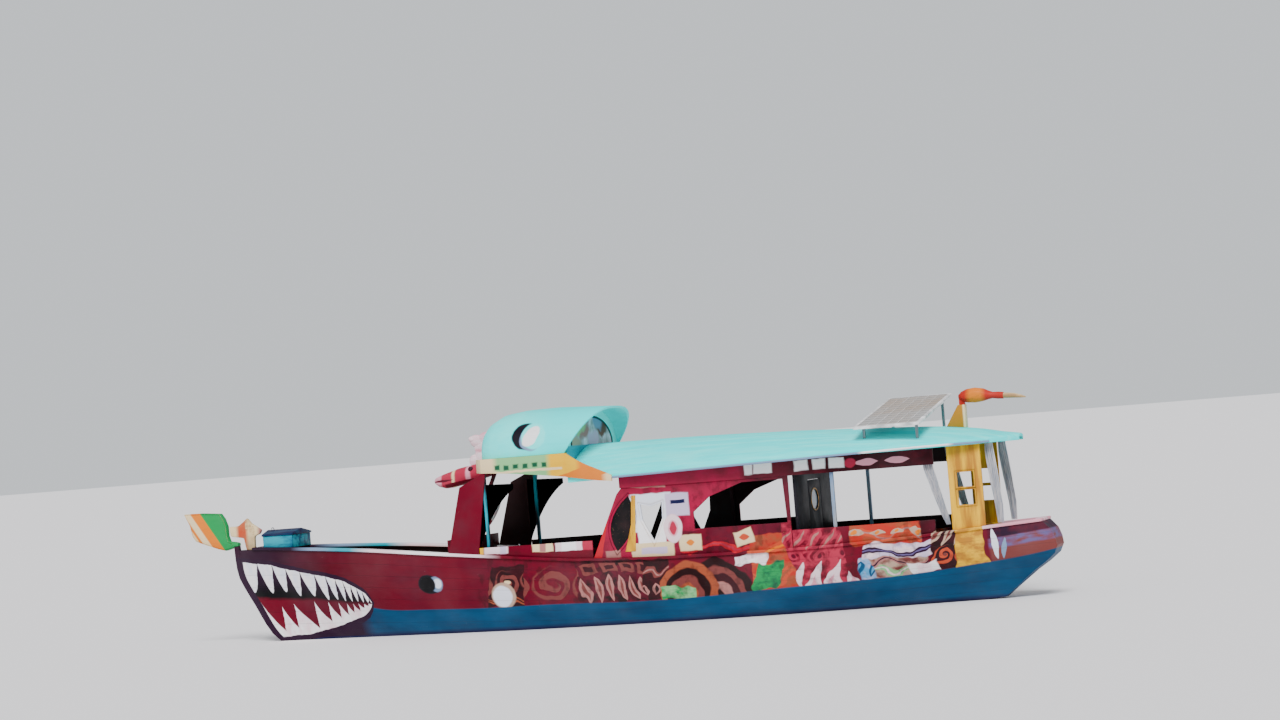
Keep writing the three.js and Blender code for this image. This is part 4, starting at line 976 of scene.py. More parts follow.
class Surface:
    """Port face of a CAD node, on which applied pieces are seated."""

    def __init__(self, node: str) -> None:
        """Put the node's mesh in a search tree.

        Args:
            node: The CAD node.
        """
        bm = bmesh.new()
        bm.from_mesh(frame["nodes"][node].data)
        self.tree = BVHTree.FromBMesh(bm)
        bm.free()

    def hit(self, start: Place, way: Place, near: Place) -> Vector:
        """Place where a ray meets the node.

        Args:
            start: Where the ray starts.
            way: Where it goes.
            near: Where the closest place is sought if it misses.

        Returns:
            The place in metres.
        """
        spot = self.tree.ray_cast(Vector(start), Vector(way))[0]
        return self.tree.find_nearest(Vector(near))[0] if spot is None else spot

    def out(self, x: float, z: float) -> float:
        """Half breadth at a place, seen from port."""
        return self.hit((x, 6.0, z), (0, -1, 0), (x, 1.2, z)).y

    def up(self, x: float, y: float) -> float:
        """Height at a place, seen from above."""
        return self.hit((x, y, 9.0), (0, 0, -1), (x, y, 3.0)).z


CREASE = 32.0  # Edges that turn by more degrees are hard, and eased on a CAD node that is made again.


def place_piece(bm: Shape, name: str, finish: object, body: str = "boat", stands_for: Sequence[str] = (),
                crease: float = CREASE) -> bpy.types.Object:
    """Turn a bmesh into a dressed piece that rides on a body.

    Args:
        bm: The shape in metres, in the boat's frame. It is freed.
        name: The piece's name.
        finish: The finish that dresses it.
        body: The body that carries it.
        stands_for: CAD nodes that it replaces.
        crease: Edges that turn by more degrees than this are hard.

    Returns:
        The new object.
    """
    limit = math.radians(crease)
    for face in bm.faces:
        face.smooth = True
    for edge in bm.edges:
        edge.smooth = len(edge.link_faces) == 2 and edge.calc_face_angle(0.0) < limit
    mesh = bpy.data.meshes.new(name)
    bm.to_mesh(mesh)
    bm.free()
    piece = bpy.data.objects.new(name, mesh)
    bpy.context.scene.collection.objects.link(piece)
    mesh.materials.append(made(finish))
    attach(piece, body)
    if stands_for:
        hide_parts(*stands_for)
    LOG.info("%s: %d faces", name, len(mesh.polygons))
    return piece


def reskin(node: str, finish: object, edge: float = 0.004) -> None:
    """Replace a CAD node by the same shape with eased edges.

    Args:
        node: The CAD node.
        finish: The finish that dresses it.
        edge: Width of the eased edges in metres, or 0 for none.
    """
    bm = bmesh.new()
    bm.from_mesh(frame["nodes"][node].data)
    bmesh.ops.remove_doubles(bm, verts=bm.verts, dist=0.00002)
    bmesh.ops.dissolve_limit(bm, angle_limit=math.radians(0.6), verts=bm.verts, edges=bm.edges)
    if edge > 0:
        limit = math.radians(CREASE)
        edges = [e for e in bm.edges if len(e.link_faces) == 2 and e.calc_face_angle(0.0) > limit]
        bmesh.ops.bevel(bm, geom=edges, offset=edge, segments=2, profile=0.5, affect="EDGES", material=-1,
                        clamp_overlap=True)
    place_piece(bm, f"{node}_made", finish, BODY_OF[node], (node,))


def reskin_all(finish: object, edge: float, *nodes: str) -> None:
    """Reskin CAD nodes alike.

    Args:
        finish: The finish that dresses them.
        edge: Width of the eased edges in metres, or 0 for none.
        *nodes: The nodes. A name that ends in an underscore stands for its port and starboard nodes.
    """
    for node in nodes:
        for name in [node + side for side in SIDES] if node.endswith("_") else [node]:
            reskin(name, finish, edge)


def verts_of(geom: Iterable[object]) -> list[bmesh.types.BMVert]:
    """The vertices among some elements of a bmesh."""
    return [item for item in geom if isinstance(item, bmesh.types.BMVert)]


def mirror_over(bm: Shape) -> None:
    """Add the starboard twin of everything in a bmesh.

    Args:
        bm: The bmesh.
    """
    twin = bmesh.ops.duplicate(bm, geom=[*bm.verts, *bm.edges, *bm.faces])["geom"]
    bmesh.ops.scale(bm, vec=(1, -1, 1), verts=verts_of(twin))
    bmesh.ops.reverse_faces(bm, faces=[item for item in twin if isinstance(item, bmesh.types.BMFace)])


def merge_into(bm: Shape, part: Shape, matrix: Matrix | None = None) -> None:
    """Add one bmesh to another and free it.

    Args:
        bm: The bmesh that takes it.
        part: The bmesh that is added.
        matrix: Where it is set.
    """
    if matrix is not None:
        bmesh.ops.transform(part, matrix=matrix, verts=part.verts)
    mesh = bpy.data.meshes.new("part")
    part.to_mesh(mesh)
    part.free()
    bm.from_mesh(mesh)
    bpy.data.meshes.remove(mesh)


def seat(place: Place, degrees: float = 0.0, axis: str = "Y", scale: Place = (1, 1, 1)) -> Matrix:
    """Matrix that scales a shape, turns it about one axis and then moves it to a place."""
    turn = Matrix.Rotation(math.radians(degrees), 4, axis)
    return Matrix.Translation(place) @ turn @ Matrix.Diagonal((*scale, 1))


def applied(bm: Shape, surface: Surface, outline: Sequence[Point], thick: float, rim: float = 0.0,
            step: float = 0.5, lift: float = 0.0) -> None:
    """Add a thin piece laid on the side of the boat.

    Args:
        bm: The bmesh that takes it.
        surface: What it is seated on.
        outline: Its corners as pairs of distance forward and height.
        thick: Its thickness.
        rim: Width of the frame that is left, or 0 for a full plate.
        step: Longest stretch that it spans without following the surface.
        lift: Distance between the surface and its back.
    """
    part = bmesh.new()
    face = part.faces.new([part.verts.new((x, 0, z)) for x, z in outline])
    if rim > 0:
        bmesh.ops.inset_individual(part, faces=[face], thickness=rim, use_even_offset=True)
        bmesh.ops.delete(part, geom=[face], context="FACES_ONLY")
    low, high = min(x for x, _ in outline), max(x for x, _ in outline)
    for i in range(1, int((high - low) / step) + 1):
        geom = [*part.verts, *part.edges, *part.faces]
        bmesh.ops.bisect_plane(part, geom=geom, plane_co=(low + i * step, 0, 0), plane_no=(1, 0, 0))
    for vert in part.verts:
        vert.co.y = surface.out(vert.co.x, vert.co.z) + lift
    raised = bmesh.ops.extrude_face_region(part, geom=part.faces[:], use_keep_orig=True)["geom"]
    bmesh.ops.translate(part, vec=(0, thick, 0), verts=verts_of(raised))
    bmesh.ops.recalc_face_normals(part, faces=part.faces)
    merge_into(bm, part)


def on_both_sides(name: str, finish: object, slot: str, node: str, outlines: Iterable[Sequence[Point]],
                  thick: float, **fit: float) -> None:
    """Lay thin plates or frames on the port face of a node and their twins on the starboard side, as one piece.

    Args:
        name: The piece's name.
        finish: The finish that dresses it.
        slot: Not used.
        node: The CAD node that carries the port ones.
        outlines: Their outlines as pairs of distance forward and height.
        thick: Their thickness.
        **fit: Rim, step or lift, as `applied` takes them.
    """
    bm = bmesh.new()
    face = Surface(node)
    for outline in outlines:
        applied(bm, face, outline, thick, **fit)
    mirror_over(bm)
    place_piece(bm, name, finish)


def slab(bm: Shape, low: Place, high: Place, edge: float, turn: Matrix | None = None) -> None:
    """Add a block with eased edges.

    Args:
        bm: The bmesh that takes it.
        low: Its lowest corner, before it is turned.
        high: Its highest corner, before it is turned.
        edge: Width of the eased edges.
        turn: How it is turned about its middle.
    """
    part = bmesh.new()
    bmesh.ops.create_cube(part, size=1.0)
    size = Vector(high) - Vector(low)
    bmesh.ops.scale(part, vec=size, verts=part.verts)
    bmesh.ops.bevel(part, geom=part.edges[:], offset=min(edge, 0.4 * min(size)), segments=2, profile=0.5,
                    affect="EDGES", material=-1)
    merge_into(bm, part, Matrix.Translation((Vector(high) + Vector(low)) / 2) @ (turn or Matrix()))


def ball(bm: Shape, matrix: Matrix, rings: int, steps: int = 16) -> None:
    """Add a ball.

    Args:
        bm: The bmesh that takes it.
        matrix: How a ball of radius 1 is squashed, turned and moved.
        rings: Stretches from pole to pole.
        steps: Stretches round it.
    """
    part = bmesh.new()
    bmesh.ops.create_uvsphere(part, u_segments=steps, v_segments=rings, radius=1.0)
    merge_into(bm, part, matrix)


def swept(bm: Shape, path: Sequence[Place], radius: Sequence[float] | float, sides: int,
          flat: float = 1.0) -> None:
    """Add a round bar along a path.

    Args:
        bm: The bmesh that takes it.
        path: Points in metres.
        radius: Radius at each point, or one for all.
        sides: Corners of the section.
        flat: Height of the section over its width.
    """
    points = [Vector(p) for p in path]
    radii = [radius] * len(points) if isinstance(radius, (int, float)) else radius
    part = bmesh.new()
    ring: list[bmesh.types.BMEdge] = []
    last = Matrix()
    for i, (spot, r) in enumerate(zip(points, radii)):
        ahead = (points[min(i + 1, len(points) - 1)] - points[max(i - 1, 0)]).normalized()
        side = Vector((0, 0, 1)) - ahead * ahead.z
        side = side.normalized() if side.length > 0.2 else ahead.orthogonal().normalized()
        turn = Matrix((side, ahead.cross(side), ahead)).transposed().to_4x4()
        matrix = Matrix.Translation(spot) @ turn @ Matrix.Diagonal((r * flat, r, 1, 1))
        if ring:
            geom = bmesh.ops.extrude_edge_only(part, edges=ring)["geom"]
            verts = verts_of(geom)
            ring = [item for item in geom if isinstance(item, bmesh.types.BMEdge)]
        else:
            verts = bmesh.ops.create_circle(part, segments=sides, radius=1.0, cap_ends=True)["verts"]
            ring = part.edges[:]
        bmesh.ops.transform(part, matrix=matrix @ last.inverted(), verts=verts)
        last = matrix
    bmesh.ops.contextual_create(part, geom=ring)
    bmesh.ops.recalc_face_normals(part, faces=part.faces)
    merge_into(bm, part)


def swept_rows(bm: Shape, rows: Sequence[Place], sides: int, flat: float = 1.0) -> None:
    """Add a round bar in the centreline plane from rows of distance forward, height and radius."""
    swept(bm, [(x, 0, z) for x, z, _ in rows], [radius for *_, radius in rows], sides, flat)


def turned(bm: Shape, profile: Sequence[Point], matrix: Matrix, steps: int = 24,
           degrees: float = 360.0) -> None:
    """Add a turned shape.

    Args:
        bm: The bmesh that takes it.
        profile: Pairs of radius and height from one end to the other, on the axis at both ends or closed.
        matrix: Where its own Z axis goes.
        steps: Stretches round the axis.
        degrees: How far round it goes. A part of a turn is closed at its ends.
    """
    part = bmesh.new()
    verts = [part.verts.new((r, 0, z)) for r, z in profile]
    edges = [part.edges.new(pair) for pair in zip(verts, verts[1:])]
    if profile[0][0] > 1e-6:
        edges.append(part.edges.new((verts[-1], verts[0])))
    bmesh.ops.spin(part, geom=[*verts, *edges], cent=(0, 0, 0), axis=(0, 0, 1), angle=math.radians(degrees),
                   steps=steps, use_merge=degrees == 360)
    bmesh.ops.remove_doubles(part, verts=part.verts, dist=1e-5)
    if degrees < 360:
        bmesh.ops.holes_fill(part, edges=part.edges[:], sides=len(profile))
    bmesh.ops.recalc_face_normals(part, faces=part.faces)
    merge_into(bm, part, matrix)


def oval(middle: Point, half: Point, count: int, start: float = 0.0) -> list[Point]:
    """Points round an ellipse, from an angle in degrees."""
    turns = [math.radians(start + 360 * i / count) for i in range(count)]
    return [(middle[0] + half[0] * math.cos(a), middle[1] + half[1] * math.sin(a)) for a in turns]


def bent(start: Point, bend: Point, end: Point, count: int = 8) -> list[Point]:
    """Points of a quadratic curve."""
    rows = [(i / count, 1 - i / count) for i in range(count + 1)]
    return [tuple(q * q * a + 2 * p * q * b + p * p * c for a, b, c in zip(start, bend, end)) for p, q in rows]


def grown(outline: Sequence[Point], by: float) -> list[Point]:
    """Outline with every edge moved outwards by a distance.

    Args:
        outline: Its corners.
        by: The distance.

    Returns:
        The new corners, in the same order.
    """
    spots = [Vector(spot) for spot in outline]
    following = spots[1:] + spots[:1]
    side = math.copysign(1.0, sum(a.x * b.y - a.y * b.x for a, b in zip(spots, following)))
    along = [(after - here).normalized() for here, after in zip(spots, following)]
    normals = [Vector((way.y, -way.x)) * side for way in along]
    moved = []
    for here, first, second in zip(spots, normals[-1:] + normals[:-1], normals):
        spot = here + (first + second) * (by / max(0.3, 1 + first.dot(second)))
        moved.append((spot.x, spot.y))
    return moved


@dataclass
class Hull:
    """Planked hull with its keel, stem, rails and decks."""

    ease: float = 0.012
    rail: Stops = ((-9, Tint.PINK), (-5.87, Tint.PINK_WHITE), (-5.3, Tint.CRIMSON), (1.7, Tint.PINK_WHITE),
                   (2.4, Tint.WHITE), (3.3, Tint.PINK_WHITE), (4.0, Tint.SEA), (4.6, Tint.SLATE_BLUE),
                   (5.15, Tint.PURPLE))

    def build(self) -> None:
        """Build every piece of the hull."""
        paint = HullPaint()
        reskin_all(paint, 0.0, "hull", "hull_bow", "hull_bottom")
        reskin("stem_post", paint, self.ease)
        reskin("keel", Paint("keel_paint", Tint.NAVY, Tint.DEEP_TEAL, rough=0.55), self.ease)
        rail = Ornament("rail_paint", self.rail, soft=0.2, heights=(0.93, 1.2), span=(1.4, -5.85))
        reskin_all(rail, self.ease, "gunwale_")
        reskin("transom_cap", Paint("transom_paint", Tint.PINK, Tint.PINK_WHITE), self.ease)
        deck = Timber("deck_planks", Tint.OAK, Tint.DARK_WOOD)
        reskin_all(deck, 0.0, "foredeck", "cabin_sole", "aft_deck")


@dataclass
class Bow:
    """Carved boards and the locker at the bow."""

    board: tuple[Point, ...] = ((6.605, 1.545), (6.72, 1.517), (6.855, 1.55), (7.06, 1.625), (7.235, 1.692),
                                (7.29, 1.775), (7.33, 1.955), (7.415, 2.122), (7.125, 2.118), (6.79, 2.09),
                                (6.734, 2.005), (6.694, 1.89), (6.69, 1.735), (6.665, 1.635), (6.6, 1.617))
    board_stops: Stops = ((-9, Tint.GREEN), (5.755, Tint.ORANGE), (5.93, Tint.CREAM), (6.05, Tint.ORANGE),
                          (6.1, Tint.CREAM))
    bird_stops: Stops = ((-9, Tint.DUSTY), (6.13, Tint.CREAM), (6.33, Tint.SALMON), (6.5, Tint.CREAM))
    rim: float = 0.022
    relief: float = 0.008
    feathers: tuple[Place, ...] = ((6.22, 1.8, 0.07), (6.27, 1.84, 0.065), (6.33, 1.87, 0.055))
    ring: float = 0.05
    ring_rise: float = 0.035
    ring_thick: float = 0.006
    ring_inset: float = 0.09

    def build(self) -> None:
        """Build the stem head, the bird and the locker."""
        reskin("stem_head", Ornament("stem_head_paint", self.board_stops, lean=-0.65), 0.015)
        reskin("bow_bird", Ornament("bow_bird_paint", self.bird_stops, (), Tint.OAK, soft=0.03), 0.02)
        on_both_sides("stem_head_rim", Paint("rim_cream", Tint.CREAM, Tint.OAK), "carving_paint", "stem_head",
                      [self.board], self.relief, rim=self.rim)
        lobes = [oval((x, z), (long * 0.35, long), 14, 90) for x, z, long in self.feathers]
        on_both_sides("bow_bird_feathers", Paint("feather_paint", Tint.OAK, Tint.CREAM), "carving_paint", "bow_bird",
                      lobes, self.relief)
        reskin("bow_locker", Paint("locker_paint", Tint.SEA, Tint.TEAL, wear=0.02), 0.006)
        reskin("bow_locker_lid", Paint("locker_lid_paint", Tint.NAVY, Tint.DEEP_TEAL, wear=0.02), 0.006)
        self.handle()

    def handle(self) -> None:
        """Lifting ring on the locker's lid."""
        bm = bmesh.new()
        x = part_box("bow_locker_lid")[1][0] - self.ring_inset
        foot = Surface("bow_locker_lid").up(x, 0.0) - 0.004
        turns = [math.pi * i / 10 for i in range(11)]
        path = [(x, self.ring * math.cos(a), foot + self.ring_rise * math.sin(a)) for a in turns]
        swept(bm, path, self.ring_thick, 8)
        place_piece(bm, "locker_ring", Metal("ring_steel", Tint.STEEL, Tint.GREY), "locker_lid")


@dataclass
class HouseSides:
    """Boards, panels, sills and posts along both sides."""

    plates: tuple[tuple[float, float, Tint], ...] = (
        (1.97, 0.16, Tint.YELLOW), (1.6, 0.2, Tint.PINK_WHITE), (1.48, 0.05, Tint.LILAC_WHITE),
        (0.83, 0.17, Tint.CREAM), (0.83, 0.05, Tint.DUSTY), (0.4, 0.22, Tint.PINK_WHITE),
        (0.4, 0.12, Tint.WHITE), (0.08, 0.1, Tint.ROSE))
    squares: tuple[Point, ...] = ((-2.5, 0.06), (-2.72, 0.14), (-3.3, 0.1), (-3.56, 0.09), (-3.82, 0.11))
    shield: tuple[Point, ...] = ((-0.78, 1.79), (-0.95, 1.75), (-1.12, 1.8), (-1.11, 1.56), (-0.96, 1.23), (-0.8, 1.56))
    leaf_foot: Point = (-0.37, 1.11)
    leaf_head: Point = (-0.6, 1.93)
    leaf_bends: tuple[Point, Point] = ((-0.12, 1.56), (-0.84, 1.5))
    strip: tuple[Point, ...] = ((-0.66, 1.1), (-0.5, 1.1), (-0.62, 1.5), (-0.655, 1.93), (-0.72, 1.93))
    # How far the leaf's dark sheet of painted shade sits behind the panel's face.
    shade_sheet_depth: float = 0.024
    quarter_ends: Point = (-5.735, -5.505)
    quarter_levels: tuple[Point, Point] = ((1.43, 1.645), (1.69, 1.905))
    knee: tuple[Point, ...] = ((1.88, 2.26), (1.265, 2.24), *bent((1.265, 2.16), (1.6, 1.95), (1.88, 1.3), 10))
    knee_place: float = 1.075
    knee_thick: float = 0.022
    upright: Place = (3, 3, 0.4)

    def build(self) -> None:
        """Build both sides of the house."""
        # The boards, sills, panels and valances are dark brown on their inboard faces: painted shade for the inside.
        reskin_all(self.front_paint(), 0.006, "front_board_")
        reskin_all(self.sill_paint(), 0.006, "front_coaming_")
        reskin_all(self.panel_paint(), 0.005, "side_panel_")
        reskin_all(self.aft_paint(), 0.006, "aft_coaming_")
        reskin_all(self.valance_paint(), 0.004, "valance_")
        # The front posts are near black: painted shade for posts that stand in shade inside the cab.
        for post, colour, second in (("front", Tint.SHADOW, Tint.SEA), ("mid", Tint.MAROON, Tint.SHADOW),
                                     ("aft", Tint.SLATE_BLUE, Tint.GREY)):
            reskin_all(Paint(f"{post}_post_paint", colour, second, grain=self.upright), 0.004, f"{post}_post_")
        quarter = Paint("quarter_ochre", Tint.OCHRE, Tint.YELLOW, under=Tint.BROWN, grain=(3, 3, 0.35), wear=0.05)
        reskin_all(quarter, 0.008, "quarter_board_")
        self.frames()
        self.knees()

    def front_paint(self) -> Ornament:
        """Crimson front board with a pink edge."""
        edge = (Motif(Form.BLOCK, 2.32, 1.8, 0.035, 0.62, -16, Tint.PINK),)
        return Ornament("front_board_paint", ((-9, Tint.CRIMSON),), edge, Tint.WINE, inner=Tint.DARK_BROWN)

    def sill_paint(self) -> Ornament:
        """Crimson sill with blank plates in yellow, white and pink."""
        rows = [(x, 1.235 + 0.02 * x, half, 0.07, 0, tint) for x, half, tint in self.plates]
        return Ornament("front_sill_paint", ((-9, Tint.CRIMSON),), shapes(Form.BLOCK, *rows), Tint.MAROON,
                        inner=Tint.DARK_BROWN)

    def panel_paint(self) -> Ornament:
        """Side panel with its white shield plate, disc and blank plates over the side's painting."""
        rows = (*shapes(Form.BLOCK, (-0.95, 1.66, 0.32, 0.28, 0, Tint.COOL_WHITE),
                        (-0.93, 1.3, 0.22, 0.25, 0, Tint.WHITE), (-0.93, 1.08, 0.33, 0.13, 0, Tint.CREAM),
                        (-0.95, 1.09, 0.2, 0.05, 0, Tint.LILAC_WHITE), (-1.36, 1.75, 0.18, 0.17, 0, Tint.LILAC_WHITE),
                        (-1.37, 1.79, 0.11, 0.028, 0, Tint.NAVY), (-0.1, 1.35, 0.09, 0.4, -14, Tint.RED),
                        (-0.8, 2.06, 0.4, 0.025, -3, Tint.DUSTY), (-0.3, 1.06, 0.12, 0.07, 0, Tint.DUSTY)),
                Motif(Form.DISC, -1.27, 1.4, 0.14, 0.21, 0, Tint.PINK),
                Motif(Form.RING, -1.27, 1.4, 0.14, 0.21, 0, Tint.PINK_WHITE),
                Motif(Form.LENS, -1.27, 1.4, 0.06, 0.1, 0, Tint.ROSE))
        return Ornament("side_panel_paint", ((-9, Tint.WINE), (-2.4, Tint.PINK_CRIMSON)), rows, Tint.CRIMSON, soft=0.2,
                        heights=(1.0, 1.37), span=(-0.75, -3.2), inner=Tint.DARK_BROWN)

    def aft_paint(self) -> Ornament:
        """Aft sill with the side's painting."""
        stops = ((-9, Tint.MAROON), (-4.9, Tint.SCARLET), (-4.0, Tint.CRIMSON))
        return Ornament("aft_sill_paint", stops, (), Tint.WINE, soft=0.06, heights=(1.0, 1.4), inner=Tint.DARK_BROWN)

    def valance_paint(self) -> Ornament:
        """Crimson board under the eaves with blank white squares and lenses."""
        rows = (*shapes(Form.BLOCK, *((x, 2.185, half, 0.075, 0, Tint.WHITE) for x, half in self.squares)),
                *shapes(Form.LENS, *((x, 2.16, 0.18, 0.05, 0, Tint.PINK) for x in (-4.25, -4.7))),
                Motif(Form.DISC, -4.02, 2.17, 0.09, 0.07, 0, Tint.ROSE))
        stops = ((-9, Tint.SLATE_BLUE), (-5.3, Tint.MAROON), (-3.1, Tint.WINE), (-2.4, Tint.PINK_CRIMSON))
        return Ornament("valance_paint", stops, rows, Tint.CRIMSON, soft=0.06, inner=Tint.DARK_BROWN)

    def knees(self) -> None:
        """Dark blue curved boards that stiffen the front opening, inside the sides."""
        bm = bmesh.new()
        bm.faces.new([bm.verts.new((x, self.knee_place, z)) for x, z in self.knee])
        bmesh.ops.solidify(bm, geom=bm.faces[:], thickness=self.knee_thick)
        bmesh.ops.recalc_face_normals(bm, faces=bm.faces)
        mirror_over(bm)
        place_piece(bm, "front_knees", Paint("knee_blue", Tint.DEEP_TEAL, Tint.NAVY))

    def leaf(self) -> list[Point]:
        """Outline of the leaf-shaped opening."""
        fore = bent(self.leaf_foot, self.leaf_bends[0], self.leaf_head)
        return [*fore, *bent(self.leaf_head, self.leaf_bends[1], self.leaf_foot)[1:-1]]

    def frames(self) -> None:
        """Frames round the shields, leaves and quarter openings, each leaf's ochre strip, and a dark sheet set in each
        leaf as painted shade where the opening looks dark.
        """
        leaf, panel = self.leaf(), "side_panel_port"
        on_both_sides("shield_frames", Paint("frame_white", Tint.WHITE, Tint.CREAM, wear=0.06), "rail_paint",
                      panel, [grown(self.shield, 0.03)], 0.012, rim=0.027, step=0.4)
        on_both_sides("leaf_rims", Paint("leaf_rim_paint", Tint.SHADOW, Tint.MAROON), "dark_wood",
                      panel, [grown(leaf, 0.03)], 0.012, rim=0.027, step=0.4)
        # A near-black sheet set back in each leaf opening is painted shade: it stands for the dark seen through the
        # opening.
        shade_sheet = Ornament("leaf_shade_paint", ((-9, Tint.BLACK),), (), Tint.DARK_BROWN, rough=0.6, wear=0.08)
        on_both_sides("leaf_shade_sheets", shade_sheet, "dark_wood",
                      panel, [grown(leaf, 0.004)], 0.008, step=0.4, lift=-self.shade_sheet_depth)
        on_both_sides("leaf_strips", Paint("strip_ochre", Tint.OCHRE, Tint.YELLOW, grain=self.upright), "ochre_paint",
                      panel, [self.strip], 0.01, step=0.4)
        aft, fore = self.quarter_ends
        openings = [[(aft, low), (fore, low), (fore, high), (aft, high)] for low, high in self.quarter_levels]
        on_both_sides("quarter_frames", Paint("frame_yellow", Tint.YELLOW, Tint.OCHRE), "ochre_paint",
                      "quarter_board_port", [grown(outline, 0.025) for outline in openings], 0.01, rim=0.022)


@dataclass
class Roof:
    """Canopy roof with its eaves, the cowl over the helm, and the carved head over the brow."""

    eye: tuple[Motif, ...] = shapes(
        Form.DISC, (0.985, 2.93, 0.235, 0.2, -20, Tint.SHADOW), (0.9, 2.9, 0.18, 0.19, -20, Tint.SLATE_BLUE),
        (0.86, 2.93, 0.2, 0.19, -30, Tint.PALE_TURQUOISE), (0.9, 2.93, 0.11, 0.17, -38, Tint.WHITE))
    blots: tuple[tuple[float, float, Tint], ...] = (
        (0.75, 2.8, Tint.BEIGE), (0.3, 2.95, Tint.DUSTY), (-0.1, 2.82, Tint.LILAC_WHITE), (-0.5, 3.0, Tint.BROWN),
        (-0.3, 3.1, Tint.SLATE_BLUE), (0.5, 3.05, Tint.LEAF))
    eave: float = 2.32
    eave_fall: float = 0.02
    eave_radius: float = 0.016
    eave_ends: Point = (0.35, 0.6)
    eave_steps: int = 40
    # Distance forward, height, half width and half height of the head's sections.
    head_rows: tuple[tuple[float, float, float, float], ...] = (
        (2.035, 2.49, 0.145, 0.115), (2.12, 2.475, 0.16, 0.122), (2.24, 2.455, 0.16, 0.125),
        (2.4, 2.425, 0.15, 0.13), (2.55, 2.395, 0.135, 0.135), (2.7, 2.36, 0.125, 0.128),
        (2.82, 2.343, 0.105, 0.115), (2.92, 2.345, 0.08, 0.085), (2.985, 2.36, 0.045, 0.045),
        (3.0, 2.365, 0.02, 0.02))
    # Where the mouth starts, over what length it opens, its depth as a share of the width and of the height.
    mouth_start: float = 2.5
    mouth_long: float = 0.4
    mouth_deep: float = 0.35
    mouth_tall: float = 0.4
    # Distance forward, height, half length, half height and lean in degrees of the crest's lobes.
    lobes: tuple[tuple[float, float, float, float, float], ...] = (
        (2.1, 2.62, 0.11, 0.13, 20), (2.19, 2.68, 0.1, 0.15, 5), (2.3, 2.63, 0.09, 0.1, -25),
        (2.16, 2.82, 0.13, 0.13, 0), (2.24, 2.93, 0.12, 0.1, -15), (2.1, 2.97, 0.12, 0.09, 25),
        (2.02, 3.0, 0.09, 0.07, 10), (2.31, 2.96, 0.07, 0.05, -20))
    lobe_thick: float = 0.042
    eye_place: Place = (2.33, 0.13, 2.5)
    eye_half: Place = (0.045, 0.027, 0.045)

    def build(self) -> None:
        """Build the roof, the cowl and the band that carries it."""
        top = Paint("roof_turquoise", Tint.TURQUOISE, Tint.PALE_TURQUOISE, rough=0.45, wear=0.0, under=Tint.WHITE)
        reskin("roof", top, 0.008)
        stops = ((-9, Tint.TURQUOISE), (0.9, Tint.PALE_TURQUOISE))
        reskin("cowl", Ornament("cowl_paint", stops, self.eye, Tint.TURQUOISE, soft=0.3), 0.008)
        reskin("cowl_back", BackPanel("cowl_back_paint", self.blots), 0.004)
        self.band()
        self.eaves()
        self.head()
        self.crest()

    def band(self) -> None:
        """Lip band in green, yellow, orange and cream, with dark squares on the green."""
        squares = [Motif(Form.BLOCK, 1.46 - 0.155 * i, 2.5 - 0.01 * (i % 2), 0.042, 0.036, 0, Tint.DARK_GREEN)
                   for i in range(6)]
        line = Motif(Form.BLOCK, 1.1, 2.42, 0.7, 0.018, 0, Tint.CREAM)
        tail = Motif(Form.BLOCK, 0.05, 2.3, 0.7, 0.1, 14, Tint.ORANGE)
        stops = ((-9, Tint.CREAM), (-0.3, Tint.ORANGE), (0.12, Tint.YELLOW), (0.62, Tint.LEAF), (1.5, Tint.CREAM))
        reskin("lip_band", Ornament("lip_paint", stops, (tail, line, *squares), soft=0.05), 0.006)

    def eaves(self) -> None:
        """Moulding along the roof's edge, grey-blue as painted shade of the turquoise eave, with a white stretch aft.
        """
        roof = Surface("roof")
        bm = bmesh.new()
        low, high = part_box("roof")
        path = []
        for i in range(self.eave_steps + 1):
            x = low[0] + self.eave_ends[0] + (high[0] - low[0] - sum(self.eave_ends)) * i / self.eave_steps
            level = self.eave - (0.0 if x < -5 else self.eave_fall * (x + 5.1))
            path.append((x, roof.out(x, level) + 0.003, level))
        swept(bm, path, self.eave_radius, 8)
        mirror_over(bm)
        # Grey-blue is painted shade along the eave; the white stretch aft is paint.
        stops = ((-9, Tint.SLATE_BLUE), (-5.5, Tint.WHITE), (-4.25, Tint.SLATE_BLUE))
        place_piece(bm, "eave_mouldings", Ornament("eave_paint", stops, soft=0.05))

    def head(self) -> None:
        """Carved animal head over the brow, with an open mouth."""
        bm = bmesh.new()
        swept_rows(bm, [(x, z, half) for x, z, half, _ in self.head_rows], 20)
        for vert in bm.verts:
            _, middle, wide, tall = min(self.head_rows, key=lambda row: abs(row[0] - vert.co.x))
            vert.co.z = middle + (vert.co.z - middle) * tall / wide
            gape = max(0.0, min(1.0, (vert.co.x - self.mouth_start) / self.mouth_long))
            near = max(0.0, 1.0 - abs(vert.co.z - middle) / (self.mouth_tall * tall))
            vert.co.y *= 1.0 - self.mouth_deep * gape * near
        stops = ((-9, Tint.CRIMSON), (2.12, Tint.ROSE), (2.34, Tint.PINK), (2.42, Tint.ROSE), (2.62, Tint.CREAM),
                 (2.67, Tint.ROSE), (2.86, Tint.PINK))
        mouth = (Motif(Form.LENS, 2.84, 2.345, 0.2, 0.02, 4, Tint.WINE),
                 Motif(Form.BLOCK, 2.4, 2.315, 0.4, 0.03, 8, Tint.CRIMSON))
        place_piece(bm, "brow_head_carved", Ornament("head_paint", stops, mouth, soft=0.015), stands_for=("brow_head",))

